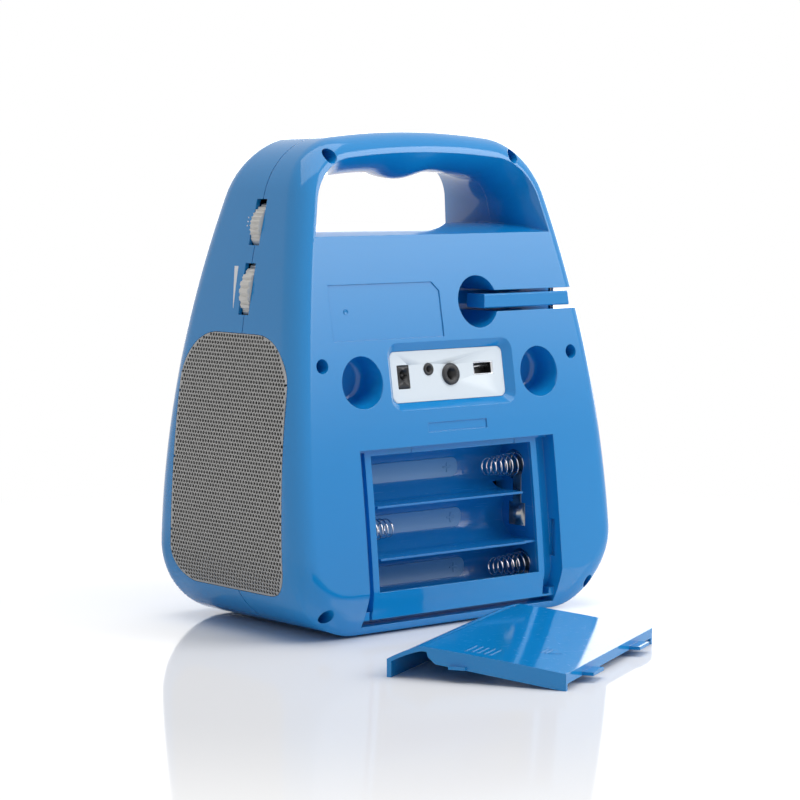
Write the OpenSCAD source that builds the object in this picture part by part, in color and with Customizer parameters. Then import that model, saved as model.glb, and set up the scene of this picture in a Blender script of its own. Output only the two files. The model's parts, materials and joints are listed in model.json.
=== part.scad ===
// Karaoke machine with a disc tray: a portable cabinet in two mouldings, with a hand hole,
// side speakers, a disc door at the front, and a battery bay and jack panel at the back.
// +Z is up, the cabinet's two halves part at y = 0, the back faces +Y and the front -Y.

/* [Cabinet] */
// Height of the cabinet from the floor
case_h = 274; // [264:1:284]
// Greatest width of the cabinet
case_w = 233; // [227:1:240]
// Wall of both mouldings
wall = 2.6; // [2.2:0.1:3]
// Radius of the bowed sides
side_r = 772; // [720:5:860]
// Radius of the lower corners
base_r = 44; // [41:1:47]
// Radius of the upper corners
top_r = 42; // [39:1:45]
// Radius of the crown
crown_r = 500; // [440:10:600]
// How far the foot pads lift the cabinet
foot_lift = 1.5; // [1:0.1:2.5]

/* [Back] */
// Back face from the parting plane at the floor
rear_base = 67.3; // [66:0.1:69]
// Back face from the parting plane at the crown
rear_top = 24.2; // [23:0.1:26]
// How far the back bows out at mid height
rear_bulge = 6; // [5:0.1:7]
// Rounding of the back's side and top edges
rear_round = 12; // [11:0.5:13]
// Depth of that rounding
rear_round_y = 13; // [12:0.5:14]
// Height of the slope along the foot of the back
slope_h = 24; // [23:0.5:25]
// How round the slope is, 1 is a straight chamfer
slope_p = 1.2; // [1.1:0.05:1.4]

/* [Front] */
// Front face from the parting plane at the floor
front_base = 78; // [76:0.5:80]
// Front face from the parting plane at the crown
front_top = 37; // [35:0.5:39]
// How far the front bows out at mid height
front_bulge = 9; // [8:0.5:10]
// Rounding of the front's edges
front_round = 16; // [14:0.5:18]

/* [Hand hole] */
// Rim of the hole from the cabinet's outline at the back
hole_rear_rim = 11.5; // [11:0.1:12]
// Rim of the hole from the outline at the front
hole_front_rim = 14; // [13:0.5:15]
// Throat of the hole from the outline
hole_throat = 22; // [21:0.5:23]
// Lower edge of the throat below the crown
hole_drop = 52; // [50:0.5:54]
// Fall of the hole's floor towards each rim
hole_fall = 5; // [4:0.5:6]
// Depth of the wave in the grip
grip_dip = 4.5; // [3:0.5:5]
// Half width of that wave
grip_dip_w = 14; // [10:1:18]

/* [Case screws] */
// Upper screws from the cabinet's greatest width
screw_top_in = 49.7; // [49:0.1:50.5]
// Upper screws below the crown
screw_top_drop = 13.5; // [13:0.1:14]
// Middle screws from the cabinet's greatest width
screw_mid_in = 25.5; // [24.5:0.5:26.5]
// Height of the middle screws
screw_mid_z = 148.4; // [147:0.1:150]
// Lower screws from the cabinet's greatest width
screw_low_in = 20.3; // [19.5:0.1:21.5]
// Height of the lower screws
screw_low_z = 15; // [14:0.5:16]
// Radius of the screw wells
well_r = 3.8; // [3.5:0.1:4]
// Wall of the screw wells and posts
well_wall = 1.6; // [1.2:0.1:2]
// Plastic left under a screw head
well_floor = 4; // [3:0.5:6]
// Radius of a case screw's shank
screw_r = 1.45; // [1.3:0.05:1.6]
// Radius of a case screw's head
screw_head_r = 2.9; // [2.6:0.1:3.2]
// Height of a case screw's head
screw_head_h = 2; // [1.6:0.1:2.4]
// Length of a case screw below its head
screw_len = 16; // [12:1:20]
// Radial play round a shank
screw_play = 0.25; // [0.2:0.05:0.4]

/* [Finger pockets] */
// Side place of the two round pockets
pocket_x = 64.6; // [63:0.1:66]
// Height of the round pockets
pocket_z = 139; // [138:0.5:141]
// Radius of the round pockets
pocket_r = 13.5; // [12.5:0.5:14]
// Depth of the round pockets
pocket_deep = 19; // [16:1:21]

/* [Label place] */
// Right end of the bare label place
label_x0 = 3.3; // [2:0.1:5]
// Left end of the label place
label_x1 = 81.5; // [79:0.5:84]
// Lower edge of the label place
label_z0 = 160.8; // [159:0.1:162]
// Upper edge of the label place
label_z1 = 191; // [189:0.5:193]
// Cut corner of the label place
label_cut = 5; // [3:0.5:7]
// Depth of the label place
label_deep = 0.6; // [0.4:0.1:0.8]
// Width of the small plain plate under the jacks
tag_w = 43; // [38:1:48]
// Height of that plate
tag_h = 5; // [4:0.5:6]
// Middle of that plate above the floor
tag_z = 111.6; // [111.4:0.1:112.5]

/* [Microphone holder] */
// Side place of the round finger cut
arm_cut_x = 24.3; // [23:0.5:26]
// Radius of the finger cut
arm_cut_r = 14.6; // [13:0.2:16]
// Middle height of the holder
arm_z = 179; // [177:0.5:181]
// Height of the slot that the holder folds into
arm_slot_h = 11.9; // [11.5:0.1:13]
// Depth of that slot
arm_slot_deep = 27.5; // [25:0.5:29]
// Height of the holder
arm_h = 8; // [7:0.5:9]
// Thickness of the holder
arm_t = 15; // [13:0.5:16]
// Free end of the holder
arm_x0 = 28.5; // [28:0.5:32]
// Hinge pin of the holder from the cabinet's greatest width
arm_pin_in = 28.5; // [26.5:0.5:30.5]
// Hinge pin of the holder below the back face
arm_pin_deep = 8.5; // [8:0.5:9]
// Radius of the hinge pin
arm_pin_r = 1.5; // [1.2:0.1:1.8]
// Radial play of hinge pins and shafts
pin_play = 0.05; // [0.03:0.01:0.08]
// Radius of the notch that a microphone hangs in
mic_notch_r = 9; // [8:0.5:10]

/* [Jack panel] */
// Width of the jack panel
panel_w = 82; // [78:1:86]
// Height of the jack panel
panel_h = 28.2; // [27:0.1:30]
// Middle height of the jack panel
panel_z = 140.1; // [139:0.1:141]
// Depth of the panel behind the back face
panel_deep = 4.1; // [3.5:0.1:4.5]
// Thickness of the panel
panel_t = 2; // [1.6:0.1:2.4]
// Corner radius of the panel
panel_r = 3.5; // [2.5:0.5:5]
// Width of the sloped border round the panel
panel_slope = 4.5; // [4:0.5:5.5]
// Power inlet from the panel's end
dc_in = 8.7; // [8:0.1:10]
// Width of the power inlet
dc_w = 8.2; // [7.6:0.1:9]
// Height of the power inlet
dc_h = 12.9; // [12:0.1:14]
// Radius of the power inlet's opening
dc_bore_r = 2.9; // [2.7:0.1:3.2]
// Radius of the power inlet's centre pin
dc_pin_r = 1.05; // [0.9:0.05:1.2]
// Side place of the 3.5 mm jack
phone_x = 14; // [13:0.1:15]
// Height of the 3.5 mm jack above the panel's middle
phone_v = 3.5; // [2.5:0.1:4.5]
// Radius of the 3.5 mm jack's nose
phone_r = 3.35; // [3.1:0.05:3.6]
// Radius of the 3.5 mm jack's bore
phone_bore_r = 1.8; // [1.78:0.01:1.85]
// Side place of the microphone jack
mic_x = -1.7; // [-3:0.1:-1]
// Radius of the microphone jack's nose
mic_r = 5.95; // [5.5:0.05:6.3]
// Radius of the microphone jack's bore
mic_bore_r = 3.2; // [3.18:0.01:3.3]
// Memory port from the panel's other end
usb_in = 14.8; // [14:0.1:16]
// Width of the memory port
usb_w = 14.4; // [13.8:0.1:15]
// Height of the memory port
usb_h = 6.9; // [6.4:0.1:7.4]
// Height of the memory port above the panel's middle
usb_v = 2.3; // [1.5:0.1:3]
// Metal of the memory port's shell
usb_t = 0.4; // [0.3:0.05:0.5]
// Depth of the jack bodies behind the panel
jack_deep = 13; // [12:0.5:15]
// Thickness of every circuit board
board_t = 1.6; // [1.2:0.2:2]
// Gap round a jack's nose in the panel
jack_gap = 0.15; // [0.1:0.05:0.25]

/* [Battery bay] */
// Width of the recess that the cover drops into
bay_w = 141.8; // [141:0.1:143]
// Upper edge of the recess
bay_top = 102; // [101:0.5:104]
// Lower edge of the recess
bay_foot = 6; // [5.5:0.1:7]
// Depth of the ledge in the recess
ledge_deep = 6.5; // [6:0.1:7]
// Thickness of the ledge
ledge_t = 2; // [1.6:0.1:2.4]
// Width of the opening inside the ledge
bay_open_w = 117.2; // [116:0.2:118]
// Upper edge of that opening
bay_open_top = 98; // [97.5:0.1:98.5]
// Lower edge of that opening
bay_open_foot = 24; // [23:0.1:25]
// Width of the groove for the cover's skirt
groove_w = 8; // [7.6:0.1:8.4]
// Depth of that groove
groove_deep = 9.5; // [9.2:0.1:10]
// Radius of a battery cell
cell_r = 13.1; // [12.9:0.05:13.2]
// Radial play of a cell in its trough
cell_play = 0.5; // [0.3:0.05:0.6]
// Distance between the rows of cells
row_pitch = 28.4; // [28:0.1:29]
// Middle height of the lowest row
row_z = 27.3; // [26.5:0.1:28]
// Rows of cells, two cells to a row
row_count = 3; // [3:1:3]
// Depth of the cells' axis behind the back face
row_deep = 22; // [21.5:0.1:23]
// Moulded walls of the battery box
box_wall = 2; // [1.6:0.1:2.4]
// Depth of a spring's pocket past the opening
spring_pocket = 7.9; // [7:0.1:9]
// Radius of a spring's pocket
spring_pocket_r = 8.4; // [8:0.1:8.6]

/* [Springs and contacts] */
// Radius of a spring at its foot
spring_r0 = 7.2; // [6.8:0.1:7.5]
// Radius of a spring at its tip
spring_r1 = 4.8; // [4.2:0.1:5.2]
// Free length of a spring
spring_len = 29.5; // [27:0.5:31]
// Turns of a spring
spring_turns = 7; // [6:0.5:8]
// Radius of the spring wire
wire_r = 0.45; // [0.35:0.05:0.5]
// Thickness of the contact plates
plate_t = 0.5; // [0.4:0.1:0.6]
// Width of the contact plates
plate_w = 13; // [11:0.5:14]
// Reach of a flat contact's raised nub
nub_h = 2.3; // [1.5:0.1:2.6]
// Radius of that nub
nub_r = 3.2; // [2.5:0.1:4]

/* [Battery cover] */
// Play of the cover in its recess, each side
cover_gap = 0.7; // [0.5:0.1:0.9]
// Thickness of the cover
cover_t = 2.4; // [2:0.1:2.8]
// Depth of the skirt along the cover's sides
skirt_deep = 8.5; // [8:0.1:9]
// Middle of each tab from the cover's middle
tab_x = 38; // [36:0.5:40]
// Width of a tab
tab_w = 16; // [14:0.5:17]
// Length of a tab past the cover's upper edge
tab_len = 6; // [5:0.5:7]
// Depth of a tab below the cover's face
tab_deep = 3; // [2.8:0.1:3.4]
// Thickness of a tab
tab_t = 1.8; // [1.5:0.1:2]
// Play of a tab in its slot
tab_gap = 0.75; // [0.5:0.05:1]
// Lower end of the latch slot
latch_z0 = 32.1; // [31:0.1:34]
// Upper end of the latch slot
latch_z1 = 53.2; // [52:0.1:55]
// Reach of the latch barb past the skirt
barb_out = 1.9; // [1.5:0.1:2.1]
// Width of the latch barb
barb_w = 9; // [7:0.5:10]
// Turn of the loose cover about the vertical
cover_turn = 207.6; // [195:0.1:215]
// Side place of the loose cover's bend
cover_x = 57.5; // [47.5:0.5:67.5]
// Place of the loose cover's bend behind the parting plane
cover_y = 134; // [130:0.5:150]

/* [Speakers and grilles] */
// Middle of the side speakers behind the parting plane's front
speaker_y = -4; // [-6:0.5:-2]
// Middle height of the side speakers
speaker_z = 92; // [90:0.5:95]
// Radius of a speaker's flange
speaker_r = 46; // [43:0.5:47]
// Radius of a speaker's cone
cone_r = 38; // [35:0.5:39]
// Baffle walls from the cabinet's greatest width
baffle_in = 12; // [11.5:0.5:13]
// Depth of a speaker behind its flange
speaker_deep = 36; // [30:1:37]
// Radius of a speaker's magnet
magnet_r = 21; // [18:0.5:22]
// Height of a speaker's magnet
magnet_h = 12; // [10:0.5:14]
// Top of a grille
grille_top = 164; // [162:0.5:166]
// Foot of a grille
grille_foot = 24; // [23:0.5:26]
// Front edge of a grille
grille_front = -56; // [-57:0.5:-54]
// Back edge of a grille
grille_back = 47; // [45:0.5:48]
// Upper corner radius of a grille
grille_top_r = 30; // [26:1:34]
// Lower corner radius of a grille
grille_low_r = 18; // [14:1:22]
// Thickness of a grille's sheet
grille_t = 1; // [0.8:0.1:1.2]
// Play round a grille
grille_gap = 0.3; // [0.2:0.1:0.5]
// Ledge that a grille rests on
grille_ledge = 4; // [3:0.5:5]

/* [Function and volume wheels] */
// Middle of both wheels from the parting plane
wheel_y = -1; // [-1.5:0.1:-0.5]
// Width of both wheels
wheel_w = 8; // [7:0.1:8.5]
// Play of the wheels in their slots, each side
wheel_gap = 0.65; // [0.5:0.05:0.9]
// Middle of the volume wheel's slot below the crown
volume_drop = 85.8; // [84.5:0.1:87]
// Height of the volume wheel's slot
volume_slot_h = 28; // [27.5:0.1:29]
// Radius of the volume wheel
volume_r = 19; // [18.5:0.1:19.4]
// How far the volume wheel stands out
volume_out = 2.5; // [2:0.1:2.8]
// Middle of the function wheel's slot below the crown
function_drop = 49.5; // [48.5:0.1:50]
// Height of the function wheel's slot
function_slot_h = 25; // [24:0.1:26]
// Radius of the function wheel
function_r = 14; // [13.5:0.1:14.2]
// How far the function wheel stands out
function_out = 2.4; // [2:0.1:2.8]
// Function wheel's axis below the middle of its slot
function_axis_drop = 3.5; // [3:0.1:3.8]
// Radius of the wheels' shafts
wheel_shaft_r = 3; // [2.5:0.1:3.5]
// Depth of the finger grooves on the wheels
knurl_deep = 0.7; // [0.5:0.1:0.9]
// Place of the control board from the parting plane
control_y = -12; // [-13:0.5:-11]

/* [Disc door] */
// Height of the door's middle
door_z = 123; // [121:0.5:125]
// Radius of the door
door_r = 70; // [69:0.5:71]
// Straight foot of the door below its middle
door_foot = 60; // [59:0.5:61]
// Thickness of the door
door_t = 7; // [6:0.5:7]
// Depth of the door's full rim
door_lip = 1.4; // [1:0.1:1.5]
// Step inwards behind that rim
door_step = 1.8; // [1.6:0.1:2.4]
// Gap round the door
door_gap = 0.8; // [0.6:0.1:1]
// Radius of the door's hinge barrel
barrel_r = 4; // [3.6:0.1:4.2]
// Length of that barrel
barrel_len = 60; // [54:1:62]
// Depth of the hinge axis behind the door's middle
hinge_deep = 6; // [5.8:0.1:6.4]
// Radius of the hinge pin
hinge_pin_r = 1.5; // [1.2:0.1:1.8]
// Length of the hinge pin
hinge_pin_len = 72; // [70:1:74]
// Radius of the clear window
window_r = 46; // [40:1:50]
// Lip that holds the window
window_lip = 3; // [2:0.5:4]
// Thickness of the window
window_t = 1.6; // [1.2:0.1:2]
// Depth of the window behind the door's middle
window_deep = 3; // [2.8:0.1:3.4]

/* [Disc tray] */
// Radius of the tray's rim
tray_r = 73; // [72:0.5:74]
// Depth of the tray's rim behind the door's middle
tray_rim = 9.4; // [9.3:0.1:10]
// Radius of the disc's well
disc_well_r = 61.5; // [60.5:0.1:63]
// Depth of the well's floor
tray_floor = 17; // [16:0.5:18]
// Plastic of the tray
tray_t = 1.8; // [1.5:0.1:2.2]
// Radius of the hub hole
hub_hole_r = 17.5; // [17:0.1:19]
// Radius of the turntable
hub_r = 15; // [14:0.5:16]
// Radius of the disc's centring boss
boss_r = 7.4; // [7.2:0.05:7.45]
// Radius of the laser's lens
lens_r = 3.2; // [2.8:0.1:3.3]
// Travel of the laser sled
sled_travel = 34; // [30:0.5:36]
// Nearest place of the lens to the hub
sled_start = 24; // [23:0.5:26]
// Radius of the guide rods
rod_r = 1.5; // [1.2:0.1:1.8]
// Distance between the guide rods
rod_gap = 38; // [36:1:42]
// Overhang of the drive's deck past the rods and the pinion
deck_rim = 2; // [1.5:0.1:3]
// Gap between the tray and the deck
deck_gap = 2.2; // [1.8:0.1:2.6]
// Half length of the sled
sled_half = 9; // [8:0.5:10]
// Thickness of the sled
sled_t = 6; // [5.5:0.1:6.5]
// Radius of the spindle motor
spindle_r = 11.5; // [10:0.5:12]
// Depth of the spindle motor
spindle_h = 11; // [9:0.5:12]
// Radius of the sled's motor
sled_motor_r = 8; // [7:0.5:8.5]
// Depth of the sled's motor
sled_motor_h = 12; // [10:0.5:14]
// Radius of the motors' shafts
motor_shaft_r = 1; // [0.8:0.1:1.2]
// Teeth of the sled's pinion
pinion_n = 16; // [16:1:16]
// Tooth module of the rack and the pinion
tooth_m = 0.8; // [0.8:0.05:0.8]

/* [Buttons and display] */
// Open and power buttons below the hand hole
upper_drop = 19; // [18:0.5:20]
// Side place of the open and power buttons
upper_x = 60; // [57:0.5:64]
// Radius of the buttons
button_r = 6.5; // [6:0.1:7]
// Gap round the buttons
button_gap = 0.4; // [0.3:0.05:0.5]
// How far the buttons stand out
button_out = 1.4; // [1:0.1:1.8]
// Travel of the buttons
button_travel = 1.6; // [1.2:0.1:1.8]
// Height of the row of play buttons
key_z = 32; // [30:0.5:34]
// Distance between the play buttons
key_pitch = 26; // [24:0.5:28]
// Width of the display
display_w = 54; // [48:1:60]
// Height of the display
display_h = 16; // [14:0.5:17]
// Depth of the button boards behind the front
key_board_deep = 11; // [10.5:0.1:12]

/* [Feet and boards] */
// Radius of the rubber feet
foot_r = 7; // [6:0.5:8]
// Side place of the feet
foot_x = 60; // [56:1:64]
// Front feet from the parting plane
foot_front = 46; // [42:1:50]
// Back feet from the parting plane
foot_back = 33; // [28:1:36]
// Depth of the feet's seats
foot_seat = 1; // [0.8:0.1:1.2]
// Half width of the main board
board_x = 52; // [48:1:54]
// Lower edge of the main board
board_z0 = 107; // [106:0.5:110]
// Upper edge of the main board below the hand hole
board_drop = 16; // [15:1:22]
// Back of the main board from the parting plane
board_y = 7; // [6:0.5:8]
// Radius of the board posts
post_r = 3.4; // [3:0.1:3.8]
// Radius of the board screws
board_screw_r = 1.1; // [1:0.05:1.2]

/* [Hidden] */
$fn = 64;

blue = "#1d4f9c";
pale = "#e4e4e0";
black = "#1d1d1f";
metal = "#c9ccd0";
green = "#2f6b4a";

cut = 0.01;
steps = 6;
base_z = foot_lift;
half_w = case_w / 2;
hole_z = case_h - hole_drop;
screw_top_x = half_w - screw_top_in;
screw_top_z = case_h - screw_top_drop;
screw_mid_x = half_w - screw_mid_in;
screw_low_x = half_w - screw_low_in;
arm_pin_x = half_w - arm_pin_in;
dc_x = panel_w / 2 - dc_in;
usb_x = usb_in - panel_w / 2;
baffle_x = half_w - baffle_in;
volume_z = case_h - volume_drop;
function_z = case_h - function_drop;
function_axis_z = function_z - function_axis_drop;
upper_z = hole_z - upper_drop;
board_z1 = hole_z - board_drop;
side_cx = half_w - side_r;
side_cz = base_z + base_r;
crown_cz = case_h - crown_r;

// Centre of the arc that joins a side to the crown
crown_reach = crown_r - top_r;
side_reach = side_r - top_r;
centre_gap = norm([side_cx, side_cz - crown_cz]);
along = (pow(crown_reach, 2) - pow(side_reach, 2) + pow(centre_gap, 2)) / (2 * centre_gap);
across = sqrt(pow(crown_reach, 2) - pow(along, 2));
join_dir = [side_cx, side_cz - crown_cz] / centre_gap;
top_c = [along * join_dir.x + across * join_dir.y,
  crown_cz + along * join_dir.y - across * join_dir.x];
side_a = atan2(top_c.y - side_cz, top_c.x - side_cx);
crown_a = atan2(top_c.y - crown_cz, top_c.x);

function arc(c, r, a0, a1, n) = [for (i = [0:n - 1]) c + r * [cos(a0 + (a1 - a0) * i / n),
  sin(a0 + (a1 - a0) * i / n)]];

// Half width of the cabinet at a height, drawn in by some amount
function side_x(z, inset = 0) = z < side_cz
  ? half_w - base_r + sqrt(pow(base_r - inset, 2) - pow(side_cz - z, 2))
  : side_cx + sqrt(pow(side_r - inset, 2) - pow(z - side_cz, 2));

function bowed(lo, hi, bulge, t) = lo + (hi - lo) * t + 4 * bulge * t * (1 - t);
function rear_y(z) = bowed(rear_base, rear_top, rear_bulge, z / case_h);
function front_y(z) = -bowed(front_base, front_top, front_bulge, z / case_h);
function slope_y(z) = let(u = 1 - min(1, (z - base_z) / slope_h))
  rear_round_y * (1 - pow(max(0, 1 - pow(u, slope_p)), 1 / slope_p));
function back_y(z) = rear_y(z) - slope_y(z);
function lean_of(lo, hi, bulge, z) = atan((hi - lo + 4 * bulge * (1 - 2 * z / case_h)) / case_h);
function rear_lean(z) = -lean_of(rear_base, rear_top, rear_bulge, z);
function front_lean(z) = -lean_of(front_base, front_top, front_bulge, z);

// Right half of the cabinet's outline, drawn in at the sides and at the foot
function half_outline(ds, db) = let(r = base_r - 0.9 * db, cx = half_w - ds - r,
    cz = base_z + db + r, a0 = asin((cz - side_cz) / (side_r - ds)))
  concat(arc([cx, cz], r, -90, 0, 6), arc([side_cx, side_cz], side_r - ds, a0, side_a, 8),
    arc(top_c, top_r - ds, side_a, crown_a, 6), arc([0, crown_cz], crown_r - ds, crown_a, 90, 5));
function mirrored(half) = concat(half, [for (i = [len(half) - 1:-1:0]) [-half[i].x, half[i].y]]);

function flat_ring(ds, db, y) = [for (p = mirrored(half_outline(ds, db))) [p.x, y, p.y]];
function rear_ring(ds, db, e) = [for (p = mirrored(half_outline(ds, db))) [p.x, rear_y(p.y) - e, p.y]];
function front_ring(d, e) = [for (p = mirrored(half_outline(d, d))) [p.x, front_y(p.y) + e, p.y]];

// A solid skinned over rings of points that run from the front to the back
module loft(rings) {
  n = len(rings[0]);
  last = (len(rings) - 1) * n;
  sides = [for (j = [0:len(rings) - 2]) for (i = [0:n - 1]) let(k = (i + 1) % n)
    for (f = [[j * n + i, j * n + k, (j + 1) * n + k], [j * n + i, (j + 1) * n + k, (j + 1) * n + i]]) f];
  ends = [for (i = [0:n / 2 - 2]) for (f = [[i, n - 1 - i, n - 2 - i, i + 1],
    [last + i, last + i + 1, last + n - 2 - i, last + n - 1 - i]]) f];
  polyhedron([for (r = rings) for (p = r) p], concat(sides, ends), convexity = 8);
}

function round_in(r, a, p) = r * (1 - pow(max(0, 1 - pow(sin(a), p)), 1 / p));
module rear_solid(inset, lap) {
  rd = rear_round - inset;
  rb = slope_h - inset * 0.7;
  re = rear_round_y - inset * 0.3;
  loft(concat([flat_ring(inset, inset, -lap)], [for (k = [0:steps]) let(a = 90 * k / steps)
    rear_ring(inset + round_in(rd, a, 2), inset + round_in(rb, a, slope_p), inset + re * (1 - sin(a)))]));
}
module front_solid(inset, lap) {
  r = front_round - inset;
  loft(concat([for (k = [steps:-1:0]) let(a = 90 * k / steps)
    front_ring(inset + round_in(r, a, 2), inset + r * (1 - sin(a)))], [flat_ring(inset, inset, lap)]));
}

// Rings of the hand hole: t is -1 at the front rim, 0 at the throat and 1 at the back rim
function hole_half(inset, foot, dip) =
  let(a0 = asin((foot - side_cz) / (side_r - inset)))
  [for (p = concat(arc([side_cx, side_cz], side_r - inset, a0, side_a, 3),
      arc(top_c, top_r - inset, side_a, crown_a, 5), arc([0, crown_cz], crown_r - inset, crown_a, 90, 8)))
    [p.x, p.y - dip * exp(-pow(p.x / grip_dip_w, 2))]];
function flare(t) = pow(abs(t), 1.8);
function hole_ring(t, grow, beyond) =
  let(rim = t > 0 ? hole_rear_rim : hole_front_rim, inset = hole_throat - (hole_throat - rim) * flare(t))
  [for (p = mirrored(hole_half(inset - grow, hole_z - hole_fall * flare(t) - grow,
    grip_dip * (1 - flare(t)))))
    [p.x, (t > 0 ? rear_y(p.y) : front_y(p.y)) * abs(t) + beyond * sign(t), p.y]];
module hole_solid(grow) {
  loft(concat([hole_ring(-1, grow, 3)], [for (k = [-4:4]) hole_ring(k / 4, grow, 0)],
    [hole_ring(1, grow, 3)]));
}

// Extrusions along X of shapes drawn in Y and Z, and along Y of shapes drawn in X and Z
module along_x(x0, x1) translate([x0, 0, 0]) rotate([90, 0, 90]) linear_extrude(x1 - x0) children();
module along_y(y0, y1) translate([0, y1, 0]) rotate([90, 0, 0]) linear_extrude(y1 - y0) children();
module rod_x(r, x0, x1) translate([x0, 0, 0]) rotate([0, 90, 0]) cylinder(r = r, h = x1 - x0);
module rod_y(r, y0, y1) translate([0, y0, 0]) rotate([-90, 0, 0]) cylinder(r = r, h = y1 - y0);
module block(x0, x1, y0, y1, z0, z1) translate([x0, y0, z0]) cube([x1 - x0, y1 - y0, z1 - z0]);

// Frames on the back and front faces: z points out of the face and y up along it
module on_rear(x, z) translate([x, rear_y(z), z]) rotate([90 - rear_lean(z), 0, 180]) children();
module on_front(x, z) translate([x, front_y(z), z]) rotate([90 - front_lean(z), 0, 0]) children();

// Convex outline round circles given as [x, y, r], anticlockwise
function edge_a(p, q) = atan2(q.y - p.y, q.x - p.x) - acos((p.z - q.z) / norm([q.x - p.x, q.y - p.y]));
function round_poly(c, n) = [for (i = [0:len(c) - 1])
  let(p = c[(i + len(c) - 1) % len(c)], q = c[(i + 1) % len(c)], a0 = edge_a(p, c[i]),
    a = edge_a(c[i], q), a1 = a < a0 ? a + 360 : a)
  for (k = [0:n]) [c[i].x, c[i].y] + c[i].z * [cos(a0 + (a1 - a0) * k / n), sin(a0 + (a1 - a0) * k / n)]];
function round_box(w, h, r) = [[-w / 2 + r, -h / 2 + r, r], [w / 2 - r, -h / 2 + r, r],
  [w / 2 - r, h / 2 - r, r], [-w / 2 + r, h / 2 - r, r]];
module round_plate(w, h, r, t) linear_extrude(t) polygon(round_poly(round_box(w, h, r), 6));

// ---- places that several pieces share ----
bay_x = bay_w / 2;
frame_x = bay_x + 3.2;
open_x = bay_open_w / 2;
trough_r = cell_r + cell_play;
box_z0 = row_z - trough_r - box_wall;
box_z1 = row_z + row_pitch * (row_count - 1) + trough_r + box_wall;
box_x = open_x + box_wall;
box_gap = 0.1;
pocket_end = open_x + spring_pocket;
flap_gap = 0.3;
lip_y = back_y(box_z0) - cover_t - flap_gap;
ledge_back = ledge_deep + ledge_t;
frame_deep = groove_deep + wall;
bay_frame_top = bay_top + tab_len + 4;
cover_z0 = bay_foot + cover_gap / 2;
cover_z1 = bay_top - cover_gap;
cover_seat_y = back_y(cover_z1) - skirt_deep;
bend_z = base_z + slope_h;
arm_y = rear_y(arm_z);
arm_pin_y = arm_y - arm_pin_deep;
pocket_y = rear_y(pocket_z) - pocket_deep;
out = 100;
far = 140;
post_h = 20;
post_out = 15;

function row_at(i) = row_z + row_pitch * i;
function row_axis_y(i) = rear_y(row_at(i)) - row_deep;
function back_path(z0, z1, n, inset) = [for (i = [0:n])
  let(z = z0 + (z1 - z0) * i / n) [back_y(z) - inset, z]];

module both() {
  children();
  mirror([1, 0, 0]) children();
}
module case_screw_spots() {
  for (p = [[screw_top_x, screw_top_z], [screw_mid_x, screw_mid_z], [screw_low_x, screw_low_z]]) {
    for (s = [-1, 1]) translate([s * p.x, 0, p.y]) children();
  }
}

// The part of the bay that is open to the back, down to some depth
module bay_side(x0, x1, z0, z1, deep) {
  along_x(x0, x1) polygon(concat(back_path(z0, z1, 8, deep), [[out, z1], [out, z0]]));
}
module bay_recess() {
  along_x(-bay_x, bay_x) polygon(concat([[out, bay_foot], [cover_seat_y - 1, bay_foot],
    [cover_seat_y - 1, bay_foot + cover_t + 1], [lip_y, bay_foot + cover_t + 1], [lip_y, box_z0]],
    [for (i = [0:8]) let(z = bay_open_foot + (bay_top - bay_open_foot) * i / 8) [rear_y(z) - ledge_deep, z]],
    [[out, bay_top]]));
}
// Front outline of the battery box's middle part
function box_front(grow) = concat([[lip_y - ledge_t + grow, box_z0 - grow]],
  [for (i = [0:8]) let(z = bay_open_foot + (box_z1 + grow - bay_open_foot) * i / 8)
    [rear_y(z) - ledge_back + grow, z]]);

function grille_shape(grow) = round_poly([
  [grille_front + grille_low_r, grille_foot + grille_low_r, grille_low_r + grow],
  [grille_back - grille_low_r, grille_foot + grille_low_r, grille_low_r + grow],
  [grille_back - grille_top_r - 3, grille_top - grille_top_r, grille_top_r + grow],
  [grille_front + grille_top_r + 3, grille_top - grille_top_r, grille_top_r + grow]], 6);
// Everything at the right of the side surface, drawn in by some amount
module beyond_side(inset) {
  z0 = grille_foot - 2;
  z1 = grille_top + 2;
  along_y(-out, out) polygon(concat([[far, z1], [far, z0]],
    [for (i = [0:16]) let(z = z0 + (z1 - z0) * i / 16) [side_x(z, inset), z]]));
}
module baffle_solid() both() along_x(baffle_x, far) polygon(grille_shape(grille_gap + 2));
module baffle_cuts() both() {
  along_x(baffle_x + 2.5, far) polygon(grille_shape(-grille_ledge));
  intersection() {
    beyond_side(grille_t);
    along_x(baffle_x, far) polygon(grille_shape(grille_gap));
  }
  translate([0, speaker_y, speaker_z]) rod_x(cone_r + 2, baffle_x - 1, baffle_x + 3);
}

volume_lean = asin((volume_z - side_cz) / side_r);
volume_x = side_x(volume_z) - (volume_r - volume_out) * cos(volume_lean);
volume_axis_z = volume_z - (volume_r - volume_out) * sin(volume_lean);
function_x = side_x(function_axis_z) + function_out - function_r;
module wheel_slots() {
  half = wheel_w / 2 + wheel_gap;
  block(volume_x + 8, far, wheel_y - half, wheel_y + half, volume_z - volume_slot_h / 2,
    volume_z + volume_slot_h / 2);
  block(side_x(function_z) - 8, far, wheel_y - half, wheel_y + half, function_z - function_slot_h / 2,
    function_z + function_slot_h / 2);
}
module foot_spots() {
  for (s = [-1, 1]) {
    translate([s * foot_x, -foot_front, 0]) children();
    translate([s * foot_x, foot_back, 0]) children();
  }
}
module foot_seats() foot_spots() cylinder(r = foot_r + 0.1, h = base_z + foot_seat);

module board_post_spots() {
  for (x = [-1, 1]) {
    for (z = [board_z0 + 5, board_z1 - 5]) translate([x * (board_x - 5), 0, z]) children();
  }
}

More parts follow.
